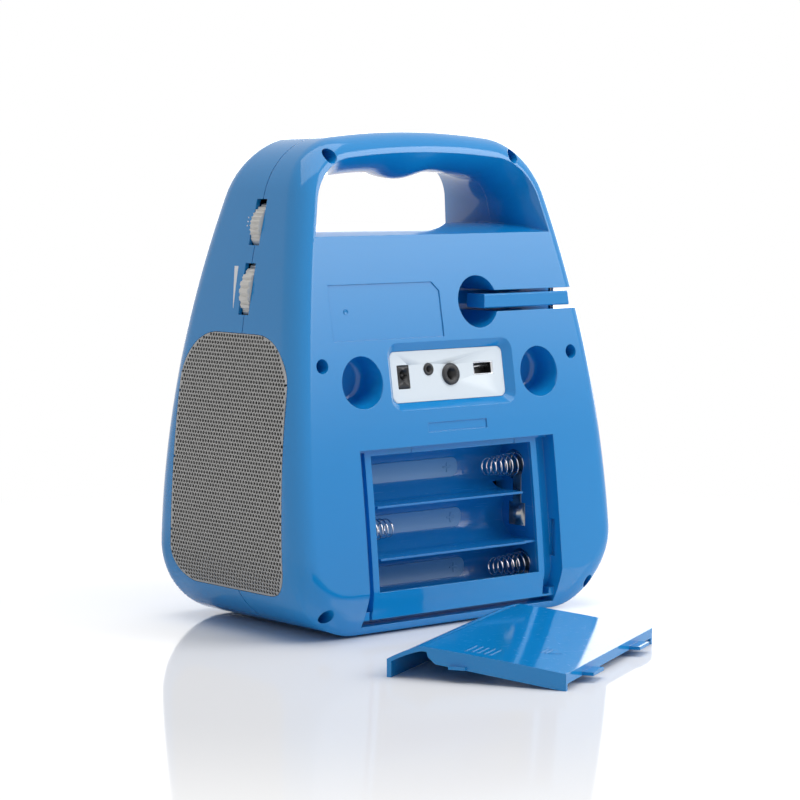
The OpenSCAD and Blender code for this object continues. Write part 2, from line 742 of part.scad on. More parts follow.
// ---- the two cabinet mouldings ----
module jack_frame() on_rear(0, panel_z) {
  translate([0, 0, -panel_deep - panel_t - wall]) linear_extrude(out / 5)
    square([panel_w + 2 * panel_slope + 4, panel_h + 2 * panel_slope + 3], center = true);
}
module jack_frame_cuts() on_rear(0, panel_z) {
  hull() {
    translate([0, 0, -panel_deep]) round_plate(panel_w + 0.3, panel_h + 0.3, panel_r, cut);
    translate([0, 0, 1]) round_plate(panel_w + 2.5 * panel_slope, panel_h + 2.5 * panel_slope,
      panel_r + panel_slope, cut);
  }
  translate([0, 0, -panel_deep - panel_t]) round_plate(panel_w + 0.3, panel_h + 0.3, panel_r, panel_t + 0.1);
  translate([0, 0, -out / 5]) round_plate(panel_w - 5, panel_h - 4, panel_r, out / 5);
}
module arm_shape(grow) {
  y0 = arm_y - arm_slot_deep - grow;
  h = arm_slot_h / 2 + grow;
  block(-far, -arm_cut_x, y0, out, arm_z - h, arm_z + h);
  translate([-arm_cut_x, 0, arm_z]) rod_y(arm_cut_r + grow, y0, out);
}
module rear_extras() {
  hole_solid(wall);
  for (s = [-1, 1]) translate([s * pocket_x, 0, pocket_z]) rod_y(pocket_r + 2, pocket_y - 2, out);
  arm_shape(2);
  jack_frame();
  along_x(-frame_x, frame_x) polygon(concat(back_path(base_z, bay_frame_top, 40, frame_deep),
    [[out, bay_frame_top], [out, base_z]]));
  case_screw_spots() rod_y(well_r + well_wall, 0, out);
  board_post_spots() rod_y(post_r, board_y, rear_y(board_z0));
  baffle_solid();
}
module label_cuts() {
  intersection() {
    along_y(20, out) polygon([[label_x0, label_z0], [label_x1, label_z0], [label_x1, label_z1],
      [label_x0 + label_cut, label_z1], [label_x0, label_z1 - label_cut]]);
    bay_side(label_x0 - 1, label_x1 + 1, label_z0 - 1, label_z1 + 1, label_deep);
  }
  bay_side(-tag_w / 2, tag_w / 2, tag_z - tag_h / 2, tag_z + tag_h / 2, label_deep);
}
module rear_cuts() {
  hole_solid(0);
  for (s = [-1, 1]) translate([s * pocket_x, 0, pocket_z]) rod_y(pocket_r, pocket_y, out);
  arm_shape(0);
  translate([-arm_pin_x, arm_pin_y, arm_z - arm_slot_h / 2 - 1.8])
    cylinder(r = arm_pin_r, h = arm_slot_h + 3.6);
  jack_frame_cuts();
  case_screw_spots() {
    rod_y(well_r, well_floor, out);
    rod_y(screw_r + screw_play, -1, well_floor + 1);
  }
  board_post_spots() rod_y(board_screw_r, board_y - 1, board_y + 8);
  bay_recess();
  along_x(-box_x - box_gap, box_x + box_gap) polygon(concat([[0, box_z0 - box_gap]], box_front(box_gap),
    [[0, box_z1 + box_gap]]));
  block(-open_x, open_x, row_axis_y(0), out, bay_open_foot, bay_open_top);
  both() bay_side(bay_x - groove_w, bay_x, bay_open_foot - 10, bay_top - 2, groove_deep);
  both() block(tab_x - tab_w / 2 - tab_gap, tab_x + tab_w / 2 + tab_gap, rear_y(bay_top) - ledge_deep,
    rear_y(bay_top) - tab_deep + tab_gap, bay_open_top, bay_top + tab_len + 2);
  block(-bay_x - barb_out - 0.4, -bay_x + 1, back_y(latch_z0) - groove_deep - 0.5,
    back_y(latch_z0) - ledge_deep + 0.5, latch_z0, latch_z1);
  block(bay_x - 7.6, bay_x - 5.6, lip_y - 8, out, bay_foot + 2, bay_foot + 12);
  block(-bay_x + 3.5, -bay_x + 8.5, lip_y - 8, out, bay_foot + 4.5, bay_foot + 13.5);
  label_cuts();
  baffle_cuts();
  wheel_slots();
  foot_seats();
}
module rear_shell() color(blue) difference() {
  union() {
    difference() {
      rear_solid(0, 0);
      rear_solid(wall, 1);
    }
    intersection() {
      rear_solid(0, 0);
      rear_extras();
    }
  }
  rear_cuts();
}

door_open_r = door_r + door_gap;
hinge_v = -door_foot;
cove_r = barrel_r + 1;
collar_r = door_open_r + 2.2;
module door_circle(r, foot, t0, t1) translate([0, 0, t0]) intersection() {
  cylinder(r = r, h = t1 - t0, $fn = 128);
  translate([-r, -foot, 0]) cube([2 * r, foot + r, t1 - t0]);
}
module hinge_line(r, x0, x1) translate([0, hinge_v, -hinge_deep]) rod_x(r, x0, x1);
module button_spots_upper() for (s = [-1, 1]) on_front(s * upper_x, upper_z) children();
function key_x(i) = (i - 1.5) * key_pitch;
module front_post_spots() for (s = [-1, 1]) {
  on_front(s * (upper_x + post_out), upper_z) translate([0, 0, -key_board_deep]) children();
  on_front(s * (key_x(3) + post_out), key_z) translate([0, 0, -key_board_deep]) children();
}
module control_posts() for (p = [[-13, -3], [5, -11.2]]) translate([volume_x + p.x, 0, volume_axis_z + p.y])
  children();
module front_extras() {
  hole_solid(wall);
  on_front(0, door_z) {
    door_circle(collar_r, door_foot + 8, -tray_rim, out / 5);
    hinge_line(cove_r + 2, -hinge_pin_len / 2 - 3, hinge_pin_len / 2 + 3);
  }
  case_screw_spots() rod_y(well_r, -out, 0);
  front_post_spots() cylinder(r = post_r, h = post_h);
  control_posts() rod_y(post_r, -out, control_y - board_t / 2);
  baffle_solid();
}
module front_cuts() {
  hole_solid(0);
  on_front(0, door_z) {
    door_circle(door_open_r, door_foot + door_gap, -tray_rim - 1, out / 5);
    hinge_line(cove_r, -hinge_pin_len / 2, hinge_pin_len / 2);
    translate([-hinge_pin_len / 2, hinge_v - cove_r, -hinge_deep]) cube([hinge_pin_len, cove_r + 4, out / 5]);
  }
  case_screw_spots() rod_y(screw_r, -screw_len, 1);
  front_post_spots() translate([0, 0, -1]) cylinder(r = board_screw_r, h = 7);
  control_posts() rod_y(board_screw_r, control_y - 8, control_y);
  button_spots_upper() translate([0, 0, -6]) cylinder(r = button_r + button_gap, h = 12);
  for (i = [0:3]) on_front(key_x(i), key_z) translate([0, 0, -6]) cylinder(r = button_r + button_gap, h = 12);
  on_front(0, upper_z) translate([0, 0, -6]) round_plate(display_w + 0.4, display_h + 0.4, 2, 12);
  baffle_cuts();
  wheel_slots();
  foot_seats();
}
module front_shell() color(blue) {
  difference() {
    union() {
      difference() {
        front_solid(0, 0);
        front_solid(wall, 1);
      }
      intersection() {
        front_solid(0, 0);
        front_extras();
      }
    }
    front_cuts();
  }
  on_front(0, door_z) difference() {
    for (s = [-1, 1]) translate([s * (barrel_len / 2 + 3), 0, 0]) {
      hinge_line(barrel_r - 0.3, -2.6, 2.6);
      translate([-2.6, hinge_v - cove_r - 1, -hinge_deep - 1.6]) cube([5.2, cove_r + 1, 3.2]);
    }
    hinge_line(hinge_pin_r, -hinge_pin_len / 2, hinge_pin_len / 2);
  }
}

// ---- battery bay ----
module battery_box() color(blue) difference() {
  back = row_deep + trough_r + box_wall;
  union() {
    along_x(-box_x, box_x) polygon(concat([[lip_y - 20, box_z0]], box_front(0),
      [[rear_y(box_z1) - back, box_z1],
      [rear_y(row_z) - back, box_z0]]));
    along_x(-pocket_end - box_wall, pocket_end + box_wall) polygon(concat(
      [for (i = [0:16]) let(z = box_z0 + 2 + (box_z1 - box_z0 - 2) * i / 16)
        [back_y(z) - frame_deep - box_gap, z]],
      [[rear_y(box_z1) - back, box_z1], [rear_y(row_z) - back, box_z0 + 2]]));
    for (i = [0:row_count - 2]) let(z = row_at(i) + row_pitch / 2)
      block(-open_x + 8.6, open_x - 2, rear_y(z) - row_deep, rear_y(z) - ledge_deep, z - 0.7, z + 0.7);
  }
  for (i = [0:row_count - 1]) translate([0, row_axis_y(i), row_at(i)]) {
    rod_x(trough_r, -open_x, open_x);
    block(-open_x, open_x, 0, out, -trough_r, trough_r);
    s = i % 2 == 0 ? -1 : 1;
    rod_x(spring_pocket_r, s < 0 ? -pocket_end : open_x - 1, s < 0 ? -open_x + 1 : pocket_end);
  }
  for (i = [0:row_count - 2]) let(z = row_at(i) + row_pitch / 2, s = i == 0 ? 1 : -1)
    translate([s * (open_x - (s > 0 ? 1 : 4.3)), row_axis_y(i) - 2, z])
      cube([s > 0 ? 2 : 8.6, 2 * plate_w + 8, 8], center = true);
}

// A flat contact's face or a spring's seat, at the end of a row: s is the end of the bay
module flat_contact(i, s) translate([0, row_axis_y(i), row_at(i)]) {
  x = s * (open_x - plate_t / 2);
  translate([x, 0, 0]) cube([plate_t, plate_w, plate_w], center = true);
  rod_x(nub_r, min(x, x - s * nub_h), max(x, x - s * nub_h));
}
seat_tab_w = 6;
module spring_seat(i, s) translate([0, row_axis_y(i), row_at(i)]) {
  x0 = open_x - plate_t;
  x1 = pocket_end - 0.1;
  low = spring_pocket_r * 0.84;
  rod_x(spring_pocket_r * 0.72, min(s * x1, s * (x1 - plate_t)), max(s * x1, s * (x1 - plate_t)));
  translate([s * (x0 + x1) / 2, 0, -low * 0.74])
    cube([x1 - x0, seat_tab_w, plate_t], center = true);
  translate([s * (x0 + plate_t / 2), 0, -low * 0.74 - 1]) cube([plate_t, seat_tab_w, 2.5], center = true);
}
module contact_strip(i, j, s) {
  z0 = row_at(i) + plate_w / 2 - 1;
  z1 = row_at(j) - spring_pocket_r * 0.62;
  y0 = row_axis_y(i) - plate_w / 4;
  x = s * (open_x - plate_t / 2);
  block(x - plate_t / 2, x + plate_t / 2, y0, y0 + plate_w / 2, z0, z1);
}
module upper_right_contact() color(metal) flat_contact(2, 1);
module lower_right_contact() color(metal) union() {
  flat_contact(0, 1);
  spring_seat(1, 1);
  contact_strip(0, 1, 1);
}
module upper_left_contact() color(metal) union() {
  flat_contact(1, -1);
  spring_seat(2, -1);
  contact_strip(1, 2, -1);
}
module lower_left_contact() color(metal) spring_seat(0, -1);

// A conical spring as one tube: it leaves its seat square, then winds towards the cells
spring_rings = 8;
lead = 1;
bend_r = 1;
function spring_point(k) = let(n = spring_turns * spring_rings, t = k / n)
  [lead + bend_r + (spring_len - lead - bend_r) * t, spring_r0 + (spring_r1 - spring_r0) * t,
    360 * k / spring_rings];
function wound(p) = [p.x, p.y * cos(p.z), p.y * sin(p.z)];
spring_path = concat([[0, spring_r0, 0]], [for (a = [0, 30, 60]) let(u = bend_r * (1 - cos(a)))
  [lead + bend_r * sin(a), spring_r0, u / spring_r0 * 180 / PI]],
  [for (k = [0:spring_turns * spring_rings]) let(p = spring_point(k)) [p.x, p.y, p.z + 8]]);
spring_line = [for (p = spring_path) wound(p)];
spring_sides = 6;
function heading(v, i) = let(a = v[max(0, i - 1)], b = v[min(len(v) - 1, i + 1)]) (b - a) / norm(b - a);
function spring_ring(i) = let(t = i == 0 ? [1, 0, 0] : heading(spring_line, i), a = spring_path[i].z,
    radial = [0, cos(a), sin(a)], r0 = radial - (radial * t) * t, r = r0 / norm(r0), b = cross(t, r))
  [for (k = [0:spring_sides - 1]) spring_line[i]
    + wire_r * (r * cos(360 * k / spring_sides) + b * sin(360 * k / spring_sides))];
spring_gap = min([for (i = [0:len(spring_line) - 1]) for (j = [i + spring_rings - 2:1:len(spring_line) - 1])
  norm(spring_line[i] - spring_line[j])]) - 2 * wire_r;
echo(spring_least_gap = spring_gap);
module spring(i, s) {
  n = len(spring_line);
  m = spring_sides;
  sides = [for (j = [0:n - 2]) for (k = [0:m - 1]) let(q = (k + 1) % m)
    for (f = [[j * m + k, (j + 1) * m + q, j * m + q], [j * m + k, (j + 1) * m + k, (j + 1) * m + q]]) f];
  ends = [for (k = [1:m - 2])
    for (f = [[0, k, k + 1], [(n - 1) * m, (n - 1) * m + k + 1, (n - 1) * m + k]]) f];
  translate([s * (pocket_end - 0.1 - plate_t), row_axis_y(i), row_at(i)]) rotate([0, 0, s > 0 ? 180 : 0])
    polyhedron([for (j = [0:n - 1]) for (p = spring_ring(j)) p], concat(sides, ends), convexity = 8);
}
module upper_spring() color(metal) spring(2, -1);
module middle_spring() color(metal) spring(1, 1);
module lower_spring() color(metal) spring(0, -1);

// The battery cover, drawn closed and then laid on the floor beside the cabinet
cover_half = bay_x - cover_gap;
function cover_band(z0, z1, n, d0, d1) = concat(
  [for (i = [0:n]) let(z = z0 + (z1 - z0) * i / n) [back_y(z) - d0, z]],
  [for (i = [n:-1:0]) let(z = z0 + (z1 - z0) * i / n) [back_y(z) - d1, z]]);
module closed_cover() {
  along_x(-cover_half, cover_half) polygon(cover_band(cover_z0, cover_z1, 16, 0, cover_t));
  for (s = [-1, 1]) {
    x = s * (cover_half - cover_t / 2);
    along_x(x - cover_t / 2, x + cover_t / 2) polygon(concat(back_path(bend_z + 2, cover_z1, 8, cover_t / 2),
      [[cover_seat_y, cover_z1], [cover_seat_y, cover_z1 - 2], [back_y(bend_z) - skirt_deep, bend_z + 7],
      [back_y(bend_z) - skirt_deep * 0.6, bend_z + 3]]));
    translate([s * tab_x, 0, 0]) block(-tab_w / 2, tab_w / 2, back_y(cover_z1) - tab_deep - tab_t,
      back_y(cover_z1) - tab_deep, cover_z1 - 1, cover_z1 + tab_len);
    translate([s * tab_x, 0, 0]) block(-tab_w / 2, tab_w / 2, back_y(cover_z1) - tab_deep - tab_t,
      back_y(cover_z1) - cover_t / 2, cover_z1 - 2.5, cover_z1 - 0.5);
  }
  along_x(-cover_half, cover_half) polygon([[back_y(cover_z1) - cover_t / 2, cover_z1 - cover_t],
    [back_y(cover_z1) - skirt_deep * 0.6, cover_z1 - cover_t],
    [back_y(cover_z1) - skirt_deep * 0.6, cover_z1],
    [back_y(cover_z1) - cover_t / 2, cover_z1]]);
  along_x(-cover_half, cover_half) polygon([[back_y(cover_z0) - cover_t / 2, cover_z0],
    [cover_seat_y, cover_z0],
    [cover_seat_y, cover_z0 + cover_t], [back_y(cover_z0 + cover_t) - cover_t / 2, cover_z0 + cover_t]]);
  latch_z = (latch_z0 + latch_z1) / 2 + 2;
  y = back_y(latch_z);
  block(-cover_half - barb_out, -cover_half + 0.2, y - skirt_deep, y - skirt_deep + 1.6, latch_z - barb_w / 2,
    latch_z + barb_w / 2);
  for (z = [latch_z - barb_w / 2, latch_z + barb_w / 2 - 1.4]) block(-cover_half + cover_t, -cover_half + 11,
    y - 6, y - cover_t / 2, z, z + 1.4);
}
module loose_cover() translate([cover_x, cover_y, back_y(bend_z) - cover_seat_y]) rotate([0, 0, cover_turn])
  rotate([90, 0, 0]) translate([0, -back_y(bend_z), -bend_z]) children();
module battery_cover() color(blue) loose_cover() closed_cover();

// ---- jacks and their board ----
module jack_panel() color(pale) on_rear(0, panel_z) difference() {
  translate([0, 0, -panel_deep - panel_t]) round_plate(panel_w, panel_h, panel_r, panel_t);
  translate([-dc_x, 0, -out / 5]) round_plate(dc_w + 2 * jack_gap, dc_h + 2 * jack_gap, 0.6, out / 5);
  translate([-phone_x, phone_v, -out / 5]) cylinder(r = phone_r + jack_gap, h = out / 5);
  translate([-mic_x, 0, -out / 5]) cylinder(r = mic_r + jack_gap, h = out / 5);
  translate([-usb_x, usb_v, -out / 5]) round_plate(usb_w + 2 * jack_gap, usb_h + 2 * jack_gap, 0.6, out / 5);
}
nose = 0.5;
jack_back = -panel_deep - panel_t - jack_deep;
module jack_body(w, h, x, v) translate([-x, v, jack_back]) round_plate(w, h, 0.8, jack_deep - 0.5);
module power_inlet() color(black) on_rear(0, panel_z) difference() {
  union() {
    jack_body(dc_w + 2, dc_h + 1, dc_x, 0);
    translate([-dc_x, 0, jack_back + 1]) round_plate(dc_w, dc_h, 0.6, jack_deep + panel_t - 1 + 0.1);
  }
  translate([-dc_x, 1, jack_back + 3]) difference() {
    cylinder(r = dc_bore_r, h = out);
    cylinder(r = dc_pin_r, h = jack_deep + panel_t - 4);
  }
}
module phone_jack() color(black) on_rear(0, panel_z) difference() {
  union() {
    jack_body(11, 13, phone_x + 0.6, 1.5);
    translate([-phone_x, phone_v, jack_back + 1]) cylinder(r = phone_r, h = jack_deep + panel_t + nose - 1);
  }
  translate([-phone_x, phone_v, jack_back + 1.5]) cylinder(r = phone_bore_r, h = out);
}
module microphone_jack() color("#6d7076") on_rear(0, panel_z) difference() {
  union() {
    jack_body(14, 17, mic_x - 1, 0);
    translate([-mic_x, 0, jack_back + 1]) cylinder(r = mic_r, h = jack_deep + panel_t + 2 * nose - 1);
  }
  translate([-mic_x, 0, jack_back + 1.5]) cylinder(r = mic_bore_r, h = out);
}
module memory_port() color(metal) on_rear(0, panel_z) translate([-usb_x, usb_v, jack_back]) {
  difference() {
    round_plate(usb_w, usb_h, 0.5, jack_deep + panel_t);
    translate([0, 0, 2]) round_plate(usb_w - 2 * usb_t, usb_h - 2 * usb_t, 0.3, out);
  }
  translate([-usb_w / 2 + 1.4, 0.6, 1]) cube([usb_w - 2.8, 1.8, jack_deep - 1]);
}
module jack_board() color(green) on_rear(0, panel_z) translate([0, 0, jack_back - board_t])
  round_plate(panel_w - 8, panel_h - 5, 1, board_t);

// ---- side wheels ----
switch_r = 4.6;
module ribbed_disc(r, h, n) difference() {
  rod_y(r, -h / 2, h / 2);
  for (i = [0:n - 1]) rotate([0, 360 * i / n, 0]) translate([r + 0.4, 0, 0]) rod_y(knurl_deep + 0.4, -h, h);
}
module volume_wheel() color(pale) translate([volume_x, wheel_y, volume_axis_z]) {
  ribbed_disc(volume_r, wheel_w, 28);
  rod_y(wheel_shaft_r, control_y - wheel_y + 2, 0);
}
module volume_control() color(black) translate([volume_x, 0, volume_axis_z]) difference() {
  rod_y(8, control_y - 4, control_y + 4.5);
  rod_y(wheel_shaft_r + pin_play, control_y + 1.8, control_y + 6);
}
module function_wheel() color(pale) translate([function_x, wheel_y, function_axis_z]) {
  difference() {
    rod_y(function_r, -wheel_w / 2, wheel_w / 2);
    for (i = [0:8]) rotate([0, -62 + 10 * i, 0]) translate([function_r + 0.3, 0, 0])
      rod_y(knurl_deep + 0.3, -9, 9);
    block(-out, 1 - wheel_shaft_r - 3, -9, 9, -out, out);
  }
  rod_y(wheel_shaft_r + 2, -wheel_w / 2, wheel_w / 2);
  rod_y(wheel_shaft_r, control_y - wheel_y + 2, 0);
}
module function_switch() color(black) translate([function_x, 0, function_axis_z]) difference() {
  rod_y(switch_r, control_y - 3, control_y + 4.5);
  rod_y(wheel_shaft_r + pin_play, control_y + 1.8, control_y + 6);
}
module control_board() color(green) difference() {
  union() {
    block(volume_x - 17, volume_x + 9, control_y - board_t / 2, control_y + board_t / 2, volume_axis_z - 14,
      volume_axis_z + 14);
    block(function_x - switch_r - 1.7, function_x + switch_r + 2, control_y - board_t / 2,
      control_y + board_t / 2, volume_axis_z + 12, function_axis_z + switch_r + 2);
  }
  translate([volume_x, 0, volume_axis_z]) rod_y(8, -out, out);
  translate([function_x, 0, function_axis_z]) rod_y(switch_r, -out, out);
  control_posts() rod_y(board_screw_r + 0.2, -out, out);
}

// ---- side speakers and grilles, drawn for the right side ----
module grille() intersection() {
  difference() {
    beyond_side(grille_t);
    beyond_side(0);
  }
  along_x(baffle_x, far) polygon(grille_shape(0));
}
speaker_back = baffle_x - speaker_deep;
basket_x = speaker_back + magnet_h;
module turned_x(x) translate([x, speaker_y, speaker_z]) rotate([0, 90, 0])
  rotate_extrude($fn = 96) children();
module speaker_frame() difference() {
  turned_x(0) polygon([[speaker_r, baffle_x - 2.4], [speaker_r, baffle_x], [cone_r + 1, baffle_x],
    [cone_r + 1, baffle_x - 2.2], [cone_r - 1, baffle_x - 2.8],
    [magnet_r * 0.76, basket_x + 1.5], [0.01, basket_x + 1.5], [0.01, basket_x],
    [magnet_r * 0.84, basket_x], [cone_r + 2.6, baffle_x - 2.4]]);
  for (a = [45:90:315]) translate([0, speaker_y, speaker_z]) rotate([a, 0, 0])
    block(basket_x + 5, baffle_x - 7, -9, 9, magnet_r * 0.7, cone_r + 6);
}
module speaker_cone() turned_x(0) polygon([[cone_r + 1, baffle_x - 1], [cone_r - 1, baffle_x + 0.4],
  [cone_r - 3.5, baffle_x - 1.4], [11, basket_x + 11], [7, basket_x + 13], [0.01, basket_x + 14.4],
  [0.01, basket_x + 13.4], [9, basket_x + 11], [9, basket_x + 2], [10, basket_x + 2], [10, basket_x + 10.2],
  [cone_r - 3, baffle_x - 2.4], [cone_r + 1, baffle_x - 2]]);
module magnet() turned_x(0) polygon([[0.01, speaker_back], [magnet_r, speaker_back], [magnet_r, basket_x],
  [0.01, basket_x]]);
module left_grille() color(metal) mirror([1, 0, 0]) grille();
module right_grille() color(metal) grille();
module left_speaker_frame() color(metal) mirror([1, 0, 0]) speaker_frame();
module right_speaker_frame() color(metal) speaker_frame();
module left_speaker_cone() color(black) mirror([1, 0, 0]) speaker_cone();
module right_speaker_cone() color(black) speaker_cone();
module left_magnet() color(black) mirror([1, 0, 0]) magnet();
module right_magnet() color(black) magnet();

// ---- microphone holder ----
arm_end_gap = 10.4;
module microphone_holder() color(blue) difference() {
  along_y(arm_y - arm_t, arm_y) polygon([for (p = [[-arm_x0, -1], [-arm_x0, 1],
    [arm_end_gap - side_x(arm_z + arm_h / 2), 1], [arm_end_gap - side_x(arm_z - arm_h / 2), -1]])
    [p.x, arm_z + p.y * arm_h / 2]]);
  translate([-arm_pin_x, arm_pin_y, 0]) cylinder(r = arm_pin_r + pin_play, h = 2 * arm_z);
  translate([-arm_x0 - mic_notch_r - 6, arm_y - arm_t, 0]) cylinder(r = mic_notch_r, h = 2 * arm_z);
}
module holder_pin() color(metal)
  translate([-arm_pin_x, arm_pin_y, arm_z - arm_slot_h / 2 - 1.8])
    cylinder(r = arm_pin_r, h = arm_slot_h + 3.6);

// ---- disc door ----
module front_band(d0, d1) {
  z0 = door_z - door_r - 6;
  z1 = door_z + door_r + 6;
  along_x(-out, out) polygon(concat([for (i = [0:12]) let(z = z0 + (z1 - z0) * i / 12) [front_y(z) + d0, z]],
    [for (i = [12:-1:0]) let(z = z0 + (z1 - z0) * i / 12) [front_y(z) + d1, z]]));
}
module door_leaf(r, d0, d1) intersection() {
  on_front(0, door_z) door_circle(r, door_foot, -out / 4, out / 4);
  front_band(d0, d1);
}
module disc_door() color(blue) difference() {
  union() {
    door_leaf(door_r, 0, door_lip);
    door_leaf(door_r - door_step, door_lip - cut, door_t);
    on_front(0, door_z) hinge_line(barrel_r, -barrel_len / 2, barrel_len / 2);
  }
  on_front(0, door_z) {
    hinge_line(hinge_pin_r + pin_play, -out, out);
    translate([0, 0, -out / 4]) cylinder(r = window_r, h = out / 2, $fn = 96);
    translate([0, 0, -out / 4])
      cylinder(r = window_r + window_lip + 0.2, h = out / 4 - window_deep, $fn = 96);
    for (s = [-1, 1]) translate([s * (barrel_len / 2 + 0.3 + 10) - 10, -door_r, -out / 4])
      cube([20, door_r - door_foot + barrel_r + 0.7, out / 2]);
  }
}
module door_window() color("#8fa6bd") on_front(0, door_z) translate([0, 0, -window_deep - window_t])
  cylinder(r = window_r + window_lip, h = window_t, $fn = 96);
module door_pin() color(metal) on_front(0, door_z)
  hinge_line(hinge_pin_r, -hinge_pin_len / 2, hinge_pin_len / 2);

// ---- disc tray and its drive, drawn in the door's frame ----
deck_top = tray_floor + tray_t + deck_gap;
deck_back = deck_top + board_t;
rod_deep = deck_back + 3.4;
sled_front = deck_back + 0.8;
sled_back = sled_front + sled_t;
rod_end = sled_start + sled_travel + sled_half + 2 * deck_rim;
lens_deep = tray_floor + tray_t + 0.6;
lens_slot = lens_r + 0.4;
deck_foot = rod_end + 3;
deck_head = hub_hole_r + 3.5;
pinion_pad = sled_motor_r + 4;
disc_deep = tray_floor - 2.4;
pinion_r = tooth_m * pinion_n / 2;
sled_x = rod_gap / 2 + 5;
pinion_x = sled_x + 2 * tooth_m + 1.4 + pinion_r;
pinion_v = -sled_start - sled_travel * 0.65;
mesh_gap = 0.1;
module disc_tray() color(black) on_front(0, door_z) {
  difference() {
    union() {
      door_circle(tray_r, door_foot + 7, -tray_rim - 2, -tray_rim);
      translate([0, 0, -tray_floor - tray_t])
        cylinder(r = disc_well_r + tray_t, h = tray_floor + tray_t - tray_rim - 1);
    }
    translate([0, 0, -tray_floor]) cylinder(r = disc_well_r, h = out);
    translate([0, 0, -out]) cylinder(r = hub_hole_r, h = out);
    translate([-lens_r - 1.8, -sled_start - sled_travel - lens_slot, -out])
      cube([2 * lens_r + 3.6, sled_start + sled_travel + lens_slot - hub_hole_r + 1, out]);
    translate([-hinge_pin_len / 2 - 5, -out, -hinge_deep - cove_r - 2.3]) cube([hinge_pin_len + 10,
      out + hinge_v + cove_r + 2.4, out]);
  }
  for (s = [-1, 1]) for (v = [hub_hole_r - 3, pinion_v]) translate([s * (sled_x - deck_rim), v, -deck_top])
    cylinder(r = 3, h = deck_gap + cut);
}
module loader_deck() color(metal) on_front(0, door_z) difference() {
  union() {
    translate([-sled_x - deck_rim, -deck_foot, -deck_back])
      cube([2 * (sled_x + deck_rim), deck_foot + deck_head, board_t]);
    translate([sled_x, pinion_v - pinion_pad, -deck_back])
      cube([pinion_x - sled_x + pinion_pad, 2 * pinion_pad, board_t]);
    for (s = [-1, 1]) for (v = [-rod_end - 2, -15]) translate([s * rod_gap / 2 - 2.6, v, -rod_deep - 2.4])
      cube([5.2, 2.6, rod_deep + 2.4 - deck_back + cut]);
    translate([pinion_x + sled_motor_r, pinion_v - sled_motor_r + 1, -sled_back - sled_motor_h - 1])
      cube([deck_rim, 2 * sled_motor_r - 2, sled_back + sled_motor_h + 1 - deck_back + cut]);
  }
  translate([0, 0, -out]) cylinder(r = 4, h = out);
  translate([-7, -sled_start - sled_travel - 6.4, -out]) cube([14, sled_travel + 12.8, out]);
  for (s = [-1, 1]) translate([s * rod_gap / 2, 0, -rod_deep]) rotate([90, 0, 0])
    cylinder(r = rod_r, h = out);
  translate([pinion_x, pinion_v, -out]) cylinder(r = 2 * motor_shaft_r, h = out);
}
module guide_rods() color(metal) on_front(0, door_z) for (s = [-1, 1])
  translate([s * rod_gap / 2, -13, -rod_deep]) rotate([90, 0, 0]) cylinder(r = rod_r, h = rod_end - 13 + 1.5);
module spindle_motor() color(metal) on_front(0, door_z) difference() {
  union() {
    translate([0, 0, -deck_back - spindle_h]) cylinder(r = spindle_r, h = spindle_h);
    translate([0, 0, -deck_back]) cylinder(r = 3.9, h = deck_back - tray_floor - 1.6);
  }
  translate([0, 0, -deck_back - spindle_h + 3]) cylinder(r = motor_shaft_r + pin_play, h = out);
}
module turntable() color(black) on_front(0, door_z) {
  translate([0, 0, -tray_floor - 0.4]) cylinder(r = hub_r, h = tray_floor + 0.4 - disc_deep);
  translate([0, 0, -disc_deep]) cylinder(r1 = boss_r, r2 = boss_r - 0.8, h = 2.6);
  translate([0, 0, -deck_back - spindle_h + 4])
    cylinder(r = motor_shaft_r, h = deck_back - tray_floor + spindle_h - 4);
}
tooth_pitch = PI * tooth_m;
module rack_teeth(v0, v1) linear_extrude(4) polygon(concat([[-3, v0], [0, v0]],
  [for (k = [ceil((v0 - pinion_v) / tooth_pitch):floor((v1 - pinion_v) / tooth_pitch) - 1])
    let(v = pinion_v + (k + 0.5) * tooth_pitch)
    for (p = [[0, -0.42], [2 * tooth_m, -0.16], [2 * tooth_m, 0.16], [0, 0.42]])
    [p.x, v + p.y * tooth_pitch * 0.82]], [[0, v1], [-3, v1]]));
module laser_sled() color(black) on_front(0, door_z) {
  difference() {
    translate([-sled_x, -sled_start - sled_half, -sled_back])
      cube([2 * sled_x, 2 * sled_half, sled_back - sled_front]);
    for (s = [-1, 1]) translate([s * rod_gap / 2, 0, -rod_deep]) rotate([90, 0, 0])
      cylinder(r = rod_r + pin_play, h = out);
  }
  translate([0, -sled_start, -sled_front - cut]) cylinder(r = lens_r + 2.4, h = sled_front - lens_deep);
  translate([sled_x + 0.9, 0, -sled_back + 0.6]) {
    rack_teeth(pinion_v - 4, pinion_v + sled_travel + 5);
    translate([-3, -sled_start - sled_half, 0]) cube([2.2, 2 * sled_half, 4]);
  }
}
module laser_lens() color("#6b5b9a") on_front(0, door_z) translate([0, -sled_start, -lens_deep])
  cylinder(r1 = lens_r, r2 = lens_r - 1.2, h = 1.6);
module sled_pinion() color(pale) on_front(0, door_z) 
  translate([pinion_x, pinion_v, -sled_back + 0.4]) difference() {
  linear_extrude(4.4) polygon([for (i = [0:pinion_n - 1]) let(a = 180 + 360 * i / pinion_n)
    for (p = [[-1.15, -4.6], [0.9, -1.9], [0.9, 1.9], [-1.15, 4.6]])
    let(r = pinion_r + p.x * tooth_m - mesh_gap) [r * cos(a + p.y), r * sin(a + p.y)]]);
  translate([0, 0, -1]) cylinder(r = motor_shaft_r + pin_play, h = out);
}
module sled_motor() color(metal) on_front(0, door_z) translate([pinion_x, pinion_v, 0]) {
  translate([0, 0, -sled_back - sled_motor_h]) cylinder(r = sled_motor_r, h = sled_motor_h);
  translate([0, 0, -sled_back]) cylinder(r = motor_shaft_r, h = sled_back - deck_back + 0.5);
}

